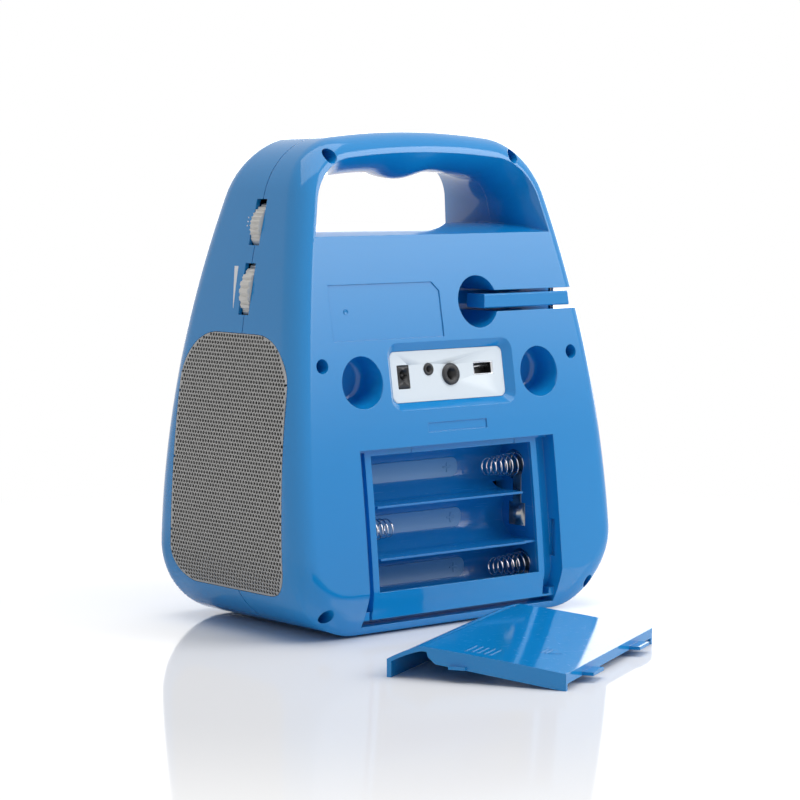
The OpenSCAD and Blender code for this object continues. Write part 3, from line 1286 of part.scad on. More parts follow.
// ---- buttons, display and boards ----
flange_deep = 4;
module button() {
  translate([0, 0, -flange_deep]) cylinder(r = button_r, h = flange_deep + button_out);
  translate([0, 0, -flange_deep - 1.4]) cylinder(r = button_r + 1.2, h = 1.4);
  translate([0, 0, -key_board_deep + button_travel + 0.3]) cylinder(r = 3,
    h = key_board_deep - button_travel - flange_deep - 1);
}
module open_button() color(pale) on_front(upper_x, upper_z) button();
module power_button() color(pale) on_front(-upper_x, upper_z) button();
module back_button() color(pale) on_front(key_x(0), key_z) button();
module stop_button() color(pale) on_front(key_x(1), key_z) button();
module play_button() color(pale) on_front(key_x(2), key_z) button();
module next_button() color(pale) on_front(key_x(3), key_z) button();
module display_window() color("#23303a") on_front(0, upper_z) {
  translate([0, 0, -wall - 0.1]) round_plate(display_w, display_h, 2, wall);
  translate([0, 0, -wall - 1.6]) round_plate(display_w + 5, display_h - 0.4, 2, 1.5);
}
module front_board_holes() front_post_spots() translate([0, 0, -board_t - 1])
  cylinder(r = board_screw_r + 0.2, h = board_t + 2);
module display_board() color(green) difference() {
  on_front(0, upper_z) {
    translate([0, 0, -key_board_deep - board_t]) round_plate(2 * (upper_x + post_out) + 8, 18, 1, board_t);
    translate([0, 0, -key_board_deep])
      round_plate(display_w - 2, display_h - 1, 1, key_board_deep - wall - 1.8);
  }
  front_board_holes();
}
module key_board() color(green) difference() {
  on_front(0, key_z) translate([0, 0, -key_board_deep - board_t])
    round_plate(2 * (key_x(3) + post_out) + 8, 16, 1, board_t);
  front_board_holes();
}
module main_board() color(green) difference() {
  block(-board_x, board_x, board_y - board_t, board_y, board_z0, board_z1);
  board_post_spots() rod_y(board_screw_r + 0.2, 0, out);
}
module rubber_feet() color(black) foot_spots() cylinder(r = foot_r, h = base_z + foot_seat);
module screw_down(r, head_r, head_h, len) {
  translate([0, 0, -len]) cylinder(r = r, h = len);
  cylinder(r = head_r, h = head_h);
}
module case_screws() color(metal) case_screw_spots() translate([0, well_floor, 0]) rotate([-90, 0, 0])
  screw_down(screw_r, screw_head_r, screw_head_h, screw_len);
module board_screws() color(metal) {
  board_post_spots() translate([0, board_y - board_t, 0]) rotate([90, 0, 0])
    screw_down(board_screw_r, 2, 1.4, 8);
  front_post_spots() translate([0, 0, -board_t]) rotate([180, 0, 0]) screw_down(board_screw_r, 2, 1.4, 7);
  control_posts() translate([0, control_y + board_t / 2, 0]) rotate([-90, 0, 0])
    screw_down(board_screw_r, 2, 1.4, 8);
}

front_shell();
rear_shell();
battery_box();
battery_cover();
upper_spring();
middle_spring();
lower_spring();
upper_left_contact();
lower_left_contact();
upper_right_contact();
lower_right_contact();
jack_panel();
power_inlet();
phone_jack();
microphone_jack();
memory_port();
jack_board();
function_wheel();
function_switch();
volume_wheel();
volume_control();
control_board();
left_grille();
right_grille();
left_speaker_frame();
right_speaker_frame();
left_speaker_cone();
right_speaker_cone();
left_magnet();
right_magnet();
microphone_holder();
holder_pin();
disc_door();
door_window();
door_pin();
disc_tray();
loader_deck();
spindle_motor();
turntable();
laser_sled();
laser_lens();
guide_rods();
sled_pinion();
sled_motor();
display_window();
display_board();
open_button();
power_button();
play_button();
stop_button();
back_button();
next_button();
key_board();
main_board();
rubber_feet();
case_screws();
board_screws();
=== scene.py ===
import json
import math

import bmesh
import bpy
from mathutils import Matrix, Vector


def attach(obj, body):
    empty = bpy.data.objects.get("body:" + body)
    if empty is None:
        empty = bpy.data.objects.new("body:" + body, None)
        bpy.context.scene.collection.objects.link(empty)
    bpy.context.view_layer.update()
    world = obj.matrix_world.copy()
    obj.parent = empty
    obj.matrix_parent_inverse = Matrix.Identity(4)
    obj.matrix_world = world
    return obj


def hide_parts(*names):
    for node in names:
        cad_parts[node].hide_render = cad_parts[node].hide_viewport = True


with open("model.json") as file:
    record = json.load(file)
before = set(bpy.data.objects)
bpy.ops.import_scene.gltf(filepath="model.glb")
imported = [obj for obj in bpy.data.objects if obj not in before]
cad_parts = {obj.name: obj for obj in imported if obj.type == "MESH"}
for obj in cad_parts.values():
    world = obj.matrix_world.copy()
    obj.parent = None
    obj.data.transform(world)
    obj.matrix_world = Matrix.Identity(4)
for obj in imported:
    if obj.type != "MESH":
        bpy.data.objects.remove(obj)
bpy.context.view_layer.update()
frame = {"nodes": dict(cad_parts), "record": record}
print("frame loaded")

mm = 0.001
far = 140
reach = 100

# Cabinet outline and skin, in millimetres, as the solids have them
cabinet = {
    "height": 274, "width": 233, "wall": 2.6, "lift": 1.5,
    "sideRadius": 772, "baseRadius": 44, "topRadius": 42, "crownRadius": 500,
    "rearBase": 67.3, "rearTop": 24.2, "rearBulge": 6, "rearRound": 12, "rearRoundDeep": 13,
    "slopeHeight": 24, "slopePower": 1.2,
    "frontBase": 78, "frontTop": 37, "frontBulge": 9, "frontRound": 16,
    "ringSteps": 16, "cornerPoints": 22, "sidePoints": 46, "crownPoints": 16,
}
sideCentreX = cabinet["width"] / 2 - cabinet["sideRadius"]
sideCentreZ = cabinet["lift"] + cabinet["baseRadius"]
crownCentreZ = cabinet["height"] - cabinet["crownRadius"]


def topCornerCentre():
    crownReach = cabinet["crownRadius"] - cabinet["topRadius"]
    sideReach = cabinet["sideRadius"] - cabinet["topRadius"]
    gap = math.hypot(sideCentreX, sideCentreZ - crownCentreZ)
    along = (crownReach ** 2 - sideReach ** 2 + gap ** 2) / (2 * gap)
    across = math.sqrt(crownReach ** 2 - along ** 2)
    ux, uz = sideCentreX / gap, (sideCentreZ - crownCentreZ) / gap
    return along * ux + across * uz, crownCentreZ + along * uz - across * ux


topX, topZ = topCornerCentre()
sideAngle = math.degrees(math.atan2(topZ - sideCentreZ, topX - sideCentreX))
crownAngle = math.degrees(math.atan2(topZ - crownCentreZ, topX))


def arcPoints(cx, cz, r, a0, a1, n):
    turns = [math.radians(a0 + (a1 - a0) * i / n) for i in range(n)]
    return [(cx + r * math.cos(a), cz + r * math.sin(a)) for a in turns]


def sideX(z, inset=0):
    if z < sideCentreZ:
        r = cabinet["baseRadius"]
        return cabinet["width"] / 2 - r + math.sqrt(max(0, (r - inset) ** 2 - (sideCentreZ - z) ** 2))
    return sideCentreX + math.sqrt((cabinet["sideRadius"] - inset) ** 2 - (z - sideCentreZ) ** 2)


def bowed(low, high, bulge, z):
    t = z / cabinet["height"]
    return low + (high - low) * t + 4 * bulge * t * (1 - t)


def rearY(z):
    return bowed(cabinet["rearBase"], cabinet["rearTop"], cabinet["rearBulge"], z)


def frontY(z):
    return -bowed(cabinet["frontBase"], cabinet["frontTop"], cabinet["frontBulge"], z)


def roundIn(r, part, power):
    return r * (1 - max(0, 1 - part ** power) ** (1 / power))


def backY(z):
    up = 1 - min(1, (z - cabinet["lift"]) / cabinet["slopeHeight"])
    return rearY(z) - roundIn(cabinet["rearRoundDeep"], max(0, up), cabinet["slopePower"])


def leanOf(low, high, bulge, z):
    h = cabinet["height"]
    return math.atan((high - low + 4 * bulge * (1 - 2 * z / h)) / h)


def onRear(x, z):
    lean = -leanOf(cabinet["rearBase"], cabinet["rearTop"], cabinet["rearBulge"], z)
    return (Matrix.Translation((x, rearY(z), z)) @ Matrix.Rotation(math.pi, 4, "Z")
            @ Matrix.Rotation(math.pi / 2 - lean, 4, "X"))


def onFront(x, z):
    lean = -leanOf(cabinet["frontBase"], cabinet["frontTop"], cabinet["frontBulge"], z)
    return Matrix.Translation((x, frontY(z), z)) @ Matrix.Rotation(math.pi / 2 - lean, 4, "X")


def linked(name, data):
    piece = bpy.data.objects.new(name, data)
    bpy.context.scene.collection.objects.link(piece)
    return piece


# Solids are built in millimetres and stored in metres
def solid(name, points, faces, place=None):
    mesh = bpy.data.meshes.new(name)
    if place is not None:
        points = [place @ Vector(p) for p in points]
    mesh.from_pydata([Vector(p) * mm for p in points], [], faces)
    work = bmesh.new()
    work.from_mesh(mesh)
    bmesh.ops.recalc_face_normals(work, faces=work.faces)
    work.to_mesh(mesh)
    work.free()
    return linked(name, mesh)


def loftFaces(rings, count):
    faces = []
    for j in range(rings - 1):
        for i in range(count):
            k = (i + 1) % count
            faces.append((j * count + i, j * count + k, (j + 1) * count + k, (j + 1) * count + i))
    return faces


def prism(name, axis, a0, a1, outline, place=None):
    spots = {"X": lambda u, v, a: (a, u, v), "Y": lambda u, v, a: (u, a, v), "Z": lambda u, v, a: (u, v, a)}
    put = spots[axis]
    n = len(outline)
    points = [put(u, v, a) for a in (a0, a1) for u, v in outline]
    faces = loftFaces(2, n) + [tuple(range(n)), tuple(range(n, 2 * n))]
    return solid(name, points, faces, place)


def block(name, x0, x1, y0, y1, z0, z1, place=None):
    return prism(name, "Z", z0, z1, [(x0, y0), (x1, y0), (x1, y1), (x0, y1)], place)


# Axis runs along the profile's first value; its second is the radius
def lathe(name, axis, centre, profile, sides=96, place=None):
    points, faces, rows = [], [], []
    for a, r in profile:
        if r < 1e-6:
            points.append((a, 0, 0))
            rows.append([len(points) - 1])
        else:
            rows.append(list(range(len(points), len(points) + sides)))
            points += [(a, r * math.cos(2 * math.pi * i / sides), r * math.sin(2 * math.pi * i / sides))
                       for i in range(sides)]
    for p, q in zip(rows, rows[1:]):
        for i in range(sides):
            k = (i + 1) % sides
            if len(p) == 1 and len(q) > 1:
                faces.append((p[0], q[i], q[k]))
            elif len(q) == 1 and len(p) > 1:
                faces.append((p[i], q[0], p[k]))
            elif len(p) > 1:
                faces.append((p[i], q[i], q[k], p[k]))
    for row in (rows[0], rows[-1]):
        if len(row) > 1 and abs(profile[0][0] - profile[-1][0]) + abs(profile[0][1] - profile[-1][1]) > 1e-6:
            faces.append(tuple(row))
    turn = {"X": lambda p: p, "Y": lambda p: (p[1], p[0], p[2]), "Z": lambda p: (p[1], p[2], p[0])}[axis]
    moved = [tuple(c + v for c, v in zip(centre, turn(p))) for p in points]
    return solid(name, moved, faces, place)


def rod(name, axis, centre, r, a0, a1, sides=96, place=None):
    return lathe(name, axis, centre, [(a0, r), (a1, r)], sides, place)


# Corners are (x, y, radius), anticlockwise
def roundedOutline(corners, n):
    def edgeAngle(p, q):
        return math.atan2(q[1] - p[1], q[0] - p[0]) - math.acos(
            max(-1, min(1, (p[2] - q[2]) / math.hypot(q[0] - p[0], q[1] - p[1]))))
    points = []
    for i, c in enumerate(corners):
        a0 = edgeAngle(corners[i - 1], c)
        a1 = edgeAngle(c, corners[(i + 1) % len(corners)])
        if a1 < a0:
            a1 += 2 * math.pi
        for k in range(n + 1):
            a = a0 + (a1 - a0) * k / n
            points.append((c[0] + c[2] * math.cos(a), c[1] + c[2] * math.sin(a)))
    return points


def roundRect(w, h, r, n=8):
    return roundedOutline([(-w / 2 + r, -h / 2 + r, r), (w / 2 - r, -h / 2 + r, r),
                           (w / 2 - r, h / 2 - r, r), (-w / 2 + r, h / 2 - r, r)], n)


# A plate with rounded corners; soft takes its front edge off
def slab(name, w, h, r, z0, z1, place, x=0, y=0, soft=0):
    n = 8
    rings = [(0, z0), (0, z1 - soft), (soft * 0.3, z1 - soft * 0.3), (soft, z1)] if soft else [(0, z0), (0, z1)]
    points = []
    for shrink, z in rings:
        ring = roundRect(w - 2 * shrink, h - 2 * shrink, max(0.05, r - shrink), n)
        points += [(x + px, y + py, z) for px, py in ring]
    count = 4 * (n + 1)
    faces = loftFaces(len(rings), count)
    faces += [tuple(range(count)), tuple(range(len(points) - count, len(points)))]
    return solid(name, points, faces, place)


def evaluated(piece):
    graph = bpy.context.evaluated_depsgraph_get()
    mesh = bpy.data.meshes.new_from_object(piece.evaluated_get(graph))
    piece.modifiers.clear()
    piece.data = mesh
    return piece


def combine(piece, others, how):
    for other in others:
        step = piece.modifiers.new("combine", "BOOLEAN")
        step.operation = how
        step.solver = "MANIFOLD"
        step.object = other
        evaluated(piece)
        bpy.data.objects.remove(other)
    return piece


def cut(piece, *others):
    return combine(piece, others, "DIFFERENCE")


def fuse(piece, *others):
    return combine(piece, others, "UNION")


def keepInside(piece, other):
    return combine(piece, [other], "INTERSECT")


# Puts pieces that do not touch into one
def joined(name, parts):
    work = bmesh.new()
    for part in parts:
        work.from_mesh(part.data)
        bpy.data.objects.remove(part)
    mesh = bpy.data.meshes.new(name)
    work.to_mesh(mesh)
    work.free()
    return linked(name, mesh)


def duplicate(piece, name):
    return linked(name, piece.data.copy())


def smooth(piece, angle=32):
    work = bmesh.new()
    work.from_mesh(piece.data)
    bmesh.ops.remove_doubles(work, verts=work.verts, dist=1e-6)
    bmesh.ops.dissolve_degenerate(work, edges=work.edges, dist=1e-7)
    work.to_mesh(piece.data)
    work.free()
    piece.data.shade_smooth()
    piece.data.set_sharp_from_angle(angle=math.radians(angle))
    return piece


# A merged and smoothed copy of a solid, to stand for it
def softCopy(node, name, angle=32):
    copy = duplicate(frame["nodes"][node], name)
    copy.data.materials.clear()
    return smooth(copy, angle)


def dress(piece, material, body, slotName, *nodes):
    piece.data.materials.clear()
    piece.data.materials.append(material)
    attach(piece, body)
    if nodes:
        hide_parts(*nodes)
    return piece


def halfOutline(ds, db):
    r = cabinet["baseRadius"] - 0.9 * db
    cz = cabinet["lift"] + db + r
    a0 = math.degrees(math.asin((cz - sideCentreZ) / (cabinet["sideRadius"] - ds)))
    return (arcPoints(cabinet["width"] / 2 - ds - r, cz, r, -90, 0, cabinet["cornerPoints"])
            + arcPoints(sideCentreX, sideCentreZ, cabinet["sideRadius"] - ds, a0, sideAngle, cabinet["sidePoints"])
            + arcPoints(topX, topZ, cabinet["topRadius"] - ds, sideAngle, crownAngle, cabinet["cornerPoints"])
            + arcPoints(0, crownCentreZ, cabinet["crownRadius"] - ds, crownAngle, 90, cabinet["crownPoints"]))


def mirrored(half):
    return half + [(-x, z) for x, z in reversed(half)]


# Rings that mirror left to right; each end is closed by strips across
def mirrorLoft(name, rings):
    n = len(rings[0])
    last = (len(rings) - 1) * n
    faces = loftFaces(len(rings), n)
    for i in range(n // 2 - 1):
        faces.append((i, n - 1 - i, n - 2 - i, i + 1))
        faces.append((last + i, last + i + 1, last + n - 2 - i, last + n - 1 - i))
    return solid(name, [p for ring in rings for p in ring], faces)


def rearSolid(name, inset, lap):
    rings = [[(x, -lap, z) for x, z in mirrored(halfOutline(inset, inset))]]
    steps = cabinet["ringSteps"]
    for k in range(steps + 1):
        s = math.sin(math.pi / 2 * k / steps)
        ds = inset + roundIn(cabinet["rearRound"] - inset, s, 2)
        db = inset + roundIn(cabinet["slopeHeight"] - inset * 0.7, s, cabinet["slopePower"])
        e = inset + (cabinet["rearRoundDeep"] - inset * 0.3) * (1 - s)
        rings.append([(x, rearY(z) - e, z) for x, z in mirrored(halfOutline(ds, db))])
    return mirrorLoft(name, rings)


def frontSolid(name, inset, lap):
    rings = []
    steps = cabinet["ringSteps"]
    r = cabinet["frontRound"] - inset
    for k in range(steps, -1, -1):
        s = math.sin(math.pi / 2 * k / steps)
        d = inset + roundIn(r, s, 2)
        rings.append([(x, frontY(z) + inset + r * (1 - s), z) for x, z in mirrored(halfOutline(d, d))])
    rings.append([(x, lap, z) for x, z in mirrored(halfOutline(inset, inset))])
    return mirrorLoft(name, rings)


handHole = {"throat": 22, "rearRim": 11.5, "frontRim": 14, "floor": 222, "floorFall": 5,
            "gripDip": 4.5, "gripDipWidth": 14, "flarePower": 1.8, "ringsEachSide": 14}


def holeSolid(name, grow):
    h = handHole
    n = h["ringsEachSide"]
    rings = []
    for k in [-n] + list(range(-n, n + 1)) + [n]:
        t = k / n
        beyond = 3 if len(rings) in (0, 2 * n + 2) else 0
        flare = abs(t) ** h["flarePower"]
        inset = h["throat"] - (h["throat"] - (h["rearRim"] if t > 0 else h["frontRim"])) * flare - grow
        foot = h["floor"] - h["floorFall"] * flare - grow
        a0 = math.degrees(math.asin((foot - sideCentreZ) / (cabinet["sideRadius"] - inset)))
        half = (arcPoints(sideCentreX, sideCentreZ, cabinet["sideRadius"] - inset, a0, sideAngle, 10)
                + arcPoints(topX, topZ, cabinet["topRadius"] - inset, sideAngle, crownAngle, 18)
                + arcPoints(0, crownCentreZ, cabinet["crownRadius"] - inset, crownAngle, 90, 30))
        dip = h["gripDip"] * (1 - flare)
        ring = []
        for x, z in mirrored([(x, z - dip * math.exp(-(x / h["gripDipWidth"]) ** 2)) for x, z in half]):
            y = (rearY(z) if t > 0 else frontY(z)) * abs(t) + math.copysign(beyond, t)
            ring.append((x, y, z))
        rings.append(ring)
    return mirrorLoft(name, rings)


def backPath(z0, z1, n, inset):
    return [(backY(z0 + (z1 - z0) * i / n) - inset, z0 + (z1 - z0) * i / n) for i in range(n + 1)]


# Everything behind the back surface moved in by deep
def behind(name, x0, x1, z0, z1, deep, n=24):
    return prism(name, "X", x0, x1, backPath(z0, z1, n, deep) + [(reach, z1), (reach, z0)])


screwWells = {"spots": [(66.8, 260.5), (91, 148.4), (96.2, 15)], "radius": 3.8, "wall": 1.6,
              "floor": 4, "boreRadius": 1.7, "lip": 0.35}
fingerPockets = {"x": 64.6, "z": 139, "radius": 13.5, "deep": 19, "rimWall": 2, "bottomRound": 4, "lip": 0.7}
labelPlace = {"x0": 3.3, "x1": 81.5, "z0": 160.8, "z1": 191, "corner": 5, "deep": 0.6,
              "tagWidth": 43, "tagHeight": 5, "tagZ": 111.6, "dotX": 70.6, "dotZ": 176.5}
holderSlot = {"cutX": 24.3, "cutRadius": 14.6, "z": 179, "height": 11.9, "deep": 27.5,
              "armThick": 15, "armHeight": 8, "armEnd": 28.5, "pinX": 88, "pinDeep": 8.5,
              "pinRadius": 1.5, "notchRadius": 9, "endGap": 10.4, "edge": 0.7}
jackPlace = {"z": 140.1, "width": 82, "height": 28.2, "deep": 4.1, "thick": 2, "radius": 3.5, "slope": 4.5}
bay = {"width": 141.8, "top": 102, "foot": 6, "ledge": 6.5, "ledgeThick": 2, "openWidth": 117.2,
       "openTop": 98, "openFoot": 24, "grooveWidth": 8, "grooveDeep": 9.5, "cellRadius": 13.1,
       "cellPlay": 0.5, "rowPitch": 28.4, "rowZ": 27.3, "rowDeep": 22, "wall": 2, "gap": 0.1,
       "pocket": 7.9, "pocketRadius": 8.4}
cover = {"gap": 0.7, "thick": 2.4, "skirt": 8.5, "tabX": 38, "tabWidth": 16, "tabLength": 6,
         "tabDeep": 3, "tabThick": 1.8, "tabGap": 0.75, "latchLow": 32.1, "latchHigh": 53.2,
         "barbOut": 1.9, "barbWidth": 9, "turn": 207.6, "x": 57.5, "y": 134}
bend = cabinet["lift"] + cabinet["slopeHeight"]
bayX = bay["width"] / 2
openX = bay["openWidth"] / 2
trough = bay["cellRadius"] + bay["cellPlay"]
boxLow = bay["rowZ"] - trough - bay["wall"]
boxHigh = bay["rowZ"] + 2 * bay["rowPitch"] + trough + bay["wall"]
boxX = openX + bay["wall"]
pocketEnd = openX + bay["pocket"]
lipY = backY(boxLow) - cover["thick"] - 0.3
coverTop = bay["top"] - cover["gap"]
coverFoot = bay["foot"] + cover["gap"] / 2
coverSeat = backY(coverTop) - cover["skirt"]
frameDeep = bay["grooveDeep"] + cabinet["wall"]
armY = rearY(holderSlot["z"])


def rowZ(i):
    return bay["rowZ"] + bay["rowPitch"] * i


def rowY(i):
    return rearY(rowZ(i)) - bay["rowDeep"]


def spread(z0, z1, n):
    return [z0 + (z1 - z0) * i / n for i in range(n + 1)]


def boxFront(grow):
    deep = bay["ledge"] + bay["ledgeThick"]
    return ([(lipY - bay["ledgeThick"] + grow, boxLow - grow)]
            + [(rearY(z) - deep + grow, z) for z in spread(bay["openFoot"], boxHigh + grow, 8)])


def bothSides(make):
    return [make(1), make(-1)]


# Side openings: the speaker baffle behind each grille, and the two wheel slots
grille = {"front": -56, "back": 47, "top": 164, "foot": 24, "topRadius": 30, "lowRadius": 18,
          "thick": 1, "gap": 0.3, "ledge": 4, "baffle": 104.5, "pitch": 2.5, "hole": 1.0, "border": 0.8,
          "columns": 44, "rows": 68, "shadeSheetLap": 0.03, "shadeSheetThick": 0.3}
speaker = {"y": -4, "z": 92, "radius": 46, "cone": 38, "deep": 36}
wheels = {"y": -1, "width": 8, "gap": 0.65, "shaft": 3, "controlY": -12,
          "volumeZ": 188.2, "volumeSlot": 28, "volumeRadius": 19, "volumeOut": 2.5, "volumeRibs": 28,
          "functionZ": 224.5, "functionSlot": 25, "functionRadius": 14, "functionOut": 2.4,
          "functionAxisZ": 221, "functionRibs": 9, "functionStep": 10,
          "functionStart": 62, "grooveDeep": 0.7, "edge": 0.7}
volumeLean = math.asin((wheels["volumeZ"] - sideCentreZ) / cabinet["sideRadius"])
volumeX = sideX(wheels["volumeZ"]) - (wheels["volumeRadius"] - wheels["volumeOut"]) * math.cos(volumeLean)
volumeAxisZ = wheels["volumeZ"] - (wheels["volumeRadius"] - wheels["volumeOut"]) * math.sin(volumeLean)
functionX = sideX(wheels["functionAxisZ"]) + wheels["functionOut"] - wheels["functionRadius"]


def grilleOutline(grow, n=10):
    g = grille
    return roundedOutline([
        (g["front"] + g["lowRadius"], g["foot"] + g["lowRadius"], g["lowRadius"] + grow),
        (g["back"] - g["lowRadius"], g["foot"] + g["lowRadius"], g["lowRadius"] + grow),
        (g["back"] - g["topRadius"] - 3, g["top"] - g["topRadius"], g["topRadius"] + grow),
        (g["front"] + g["topRadius"] + 3, g["top"] - g["topRadius"], g["topRadius"] + grow)], n)


def beyondSide(name, inset, side=1):
    z0, z1 = grille["foot"] - 2, grille["top"] + 2
    edge = [(side * sideX(z, inset), z) for z in spread(z0, z1, 64)]
    return prism(name, "Y", -reach, reach, [(side * far, z1), (side * far, z0)] + edge)


def baffleSolid(s):
    return prism("baffle", "X", s * grille["baffle"], s * far, grilleOutline(grille["gap"] + 2))


def cutBaffle(shell):
    g = grille
    for s in (1, -1):
        cut(shell, prism("room", "X", s * (g["baffle"] + 2.5), s * far, grilleOutline(-g["ledge"])))
        seat = prism("seat", "X", s * g["baffle"], s * far, grilleOutline(g["gap"]))
        cut(shell, keepInside(beyondSide("skin", g["thick"], s), seat))
        cut(shell, rod("mouth", "X", (0, speaker["y"], speaker["z"]), speaker["cone"] + 2,
                       s * (g["baffle"] - 1), s * (g["baffle"] + 3)))


def cutWheelSlots(shell):
    w = wheels
    half = w["width"] / 2 + w["gap"]
    for x0, z, h in ((volumeX + 8, w["volumeZ"], w["volumeSlot"]),
                     (sideX(w["functionZ"]) - 8, w["functionZ"], w["functionSlot"])):
        cut(shell, block("slot", x0, far, w["y"] - half, w["y"] + half, z - h / 2, z + h / 2))


feet = {"radius": 7, "x": 60, "front": 46, "back": 33, "seat": 1, "edge": 0.4}
footSpots = [(s * feet["x"], y) for s in (-1, 1) for y in (-feet["front"], feet["back"])]


def cutFootSeats(shell):
    for x, y in footSpots:
        cut(shell, rod("seat", "Z", (x, y, 0), feet["radius"] + 0.1, -1, cabinet["lift"] + feet["seat"], 64))


def wellSpots():
    return [(s * x, z) for x, z in screwWells["spots"] for s in (1, -1)]


seam = {"wide": 0.3, "deep": 0.7}


def cutSeam(shell, y0, y1):
    ring = prism("seam", "Y", y0, y1, [(-far, -9), (far, -9), (far, 300), (-far, 300)])
    cut(ring, prism("seamCore", "Y", y0 - 1, y1 + 1, mirrored(halfOutline(seam["deep"], seam["deep"]))))
    cut(shell, ring)


def makeRearShell():
    wall = cabinet["wall"]
    shell = cut(rearSolid("rearShell", 0, 0), rearSolid("hollow", wall, 1))
    w, f, h, b = screwWells, fingerPockets, holderSlot, bay
    extras = holeSolid("throat", wall)
    for s in (-1, 1):
        fuse(extras, rod("pocket", "Y", (s * f["x"], 0, f["z"]), f["radius"] + f["rimWall"],
                         rearY(f["z"]) - f["deep"] - 2, reach))
    y0 = armY - h["deep"]
    fuse(extras, block("slotBox", -far, -h["cutX"], y0 - 2, reach, h["z"] - h["height"] / 2 - 2,
                       h["z"] + h["height"] / 2 + 2))
    fuse(extras, rod("slotEnd", "Y", (-h["cutX"], 0, h["z"]), h["cutRadius"] + 2, y0 - 2, reach))
    j = jackPlace
    fuse(extras, slab("jackFrame", j["width"] + 2 * j["slope"] + 4, j["height"] + 2 * j["slope"] + 3, 1,
                      -j["deep"] - j["thick"] - wall, 20, onRear(0, j["z"])))
    fuse(extras, prism("bayFrame", "X", -bayX - 3.2, bayX + 3.2,
                       backPath(cabinet["lift"], b["top"] + cover["tabLength"] + 4, 40, frameDeep)
                       + [(reach, b["top"] + cover["tabLength"] + 4), (reach, cabinet["lift"])]))
    for x, z in wellSpots():
        fuse(extras, rod("well", "Y", (x, 0, z), w["radius"] + w["wall"], 0, reach, 64))
    fuse(extras, *bothSides(baffleSolid))
    fuse(shell, keepInside(extras, rearSolid("skin", 0, 0)))
    cut(shell, holeSolid("throatCut", 0))
    for s in (-1, 1):
        y1 = rearY(f["z"])
        floor, r, q, lip = y1 - f["deep"], f["radius"], f["bottomRound"], f["lip"]
        curve = [(floor + q * (1 - math.cos(a)), r - q + q * math.sin(a))
                 for a in [math.pi / 2 * i / 8 for i in range(9)]]
        profile = [(floor, 0)] + curve + [(y1 - 1.4, r), (y1 + 1.4, r + 2 * lip), (reach, r + 2 * lip), (reach, 0)]
        cut(shell, lathe("pocket", "Y", (s * f["x"], 0, f["z"]), profile))
    cut(shell, block("slotBox", -far, -h["cutX"], y0, reach, h["z"] - h["height"] / 2, h["z"] + h["height"] / 2))
    cut(shell, rod("slotEnd", "Y", (-h["cutX"], 0, h["z"]), h["cutRadius"], y0, reach))
    cut(shell, rod("pinBore", "Z", (-h["pinX"], armY - h["pinDeep"], 0), h["pinRadius"],
                   h["z"] - h["height"] / 2 - 1.8, h["z"] + h["height"] / 2 + 1.8, 32))
    cutJackFrame(shell)
    for x, z in wellSpots():
        lip = rearY(z) if z > 100 else backY(z)
        cut(shell, lathe("well", "Y", (x, 0, z), [(w["floor"], 0), (w["floor"], w["radius"]), (lip - 0.6, w["radius"]),
                         (lip + 0.8, w["radius"] + 1.4 * w["lip"]), (reach, w["radius"] + 1.4 * w["lip"]),
                         (reach, 0)], 64))
        cut(shell, rod("bore", "Y", (x, 0, z), w["boreRadius"], -1, w["floor"] + 1, 32))
    cutBay(shell)
    cutLabels(shell)
    cutBaffle(shell)
    cutWheelSlots(shell)
    cutFootSeats(shell)
    cutSeam(shell, -0.1, seam["wide"])
    return shell


def cutJackFrame(shell):
    j = jackPlace
    place = onRear(0, j["z"])
    n = 10
    rings = []
    for w, h, r, z in ((j["width"] + 0.3, j["height"] + 0.3, j["radius"], -j["deep"]),
                       (j["width"] + 2.5 * j["slope"], j["height"] + 2.5 * j["slope"], j["radius"] + j["slope"], 1)):
        rings += [(x, y, z) for x, y in roundRect(w, h, r, n)]
    count = 4 * (n + 1)
    faces = loftFaces(2, count) + [tuple(range(count)), tuple(range(count, 2 * count))]
    cut(shell, solid("slope", rings, faces, place))
    cut(shell, slab("panelRoom", j["width"] + 0.3, j["height"] + 0.3, j["radius"],
                    -j["deep"] - j["thick"], -j["deep"] + 0.1, place))
    cut(shell, slab("panelBack", j["width"] - 5, j["height"] - 4, j["radius"], -20, 0, place))


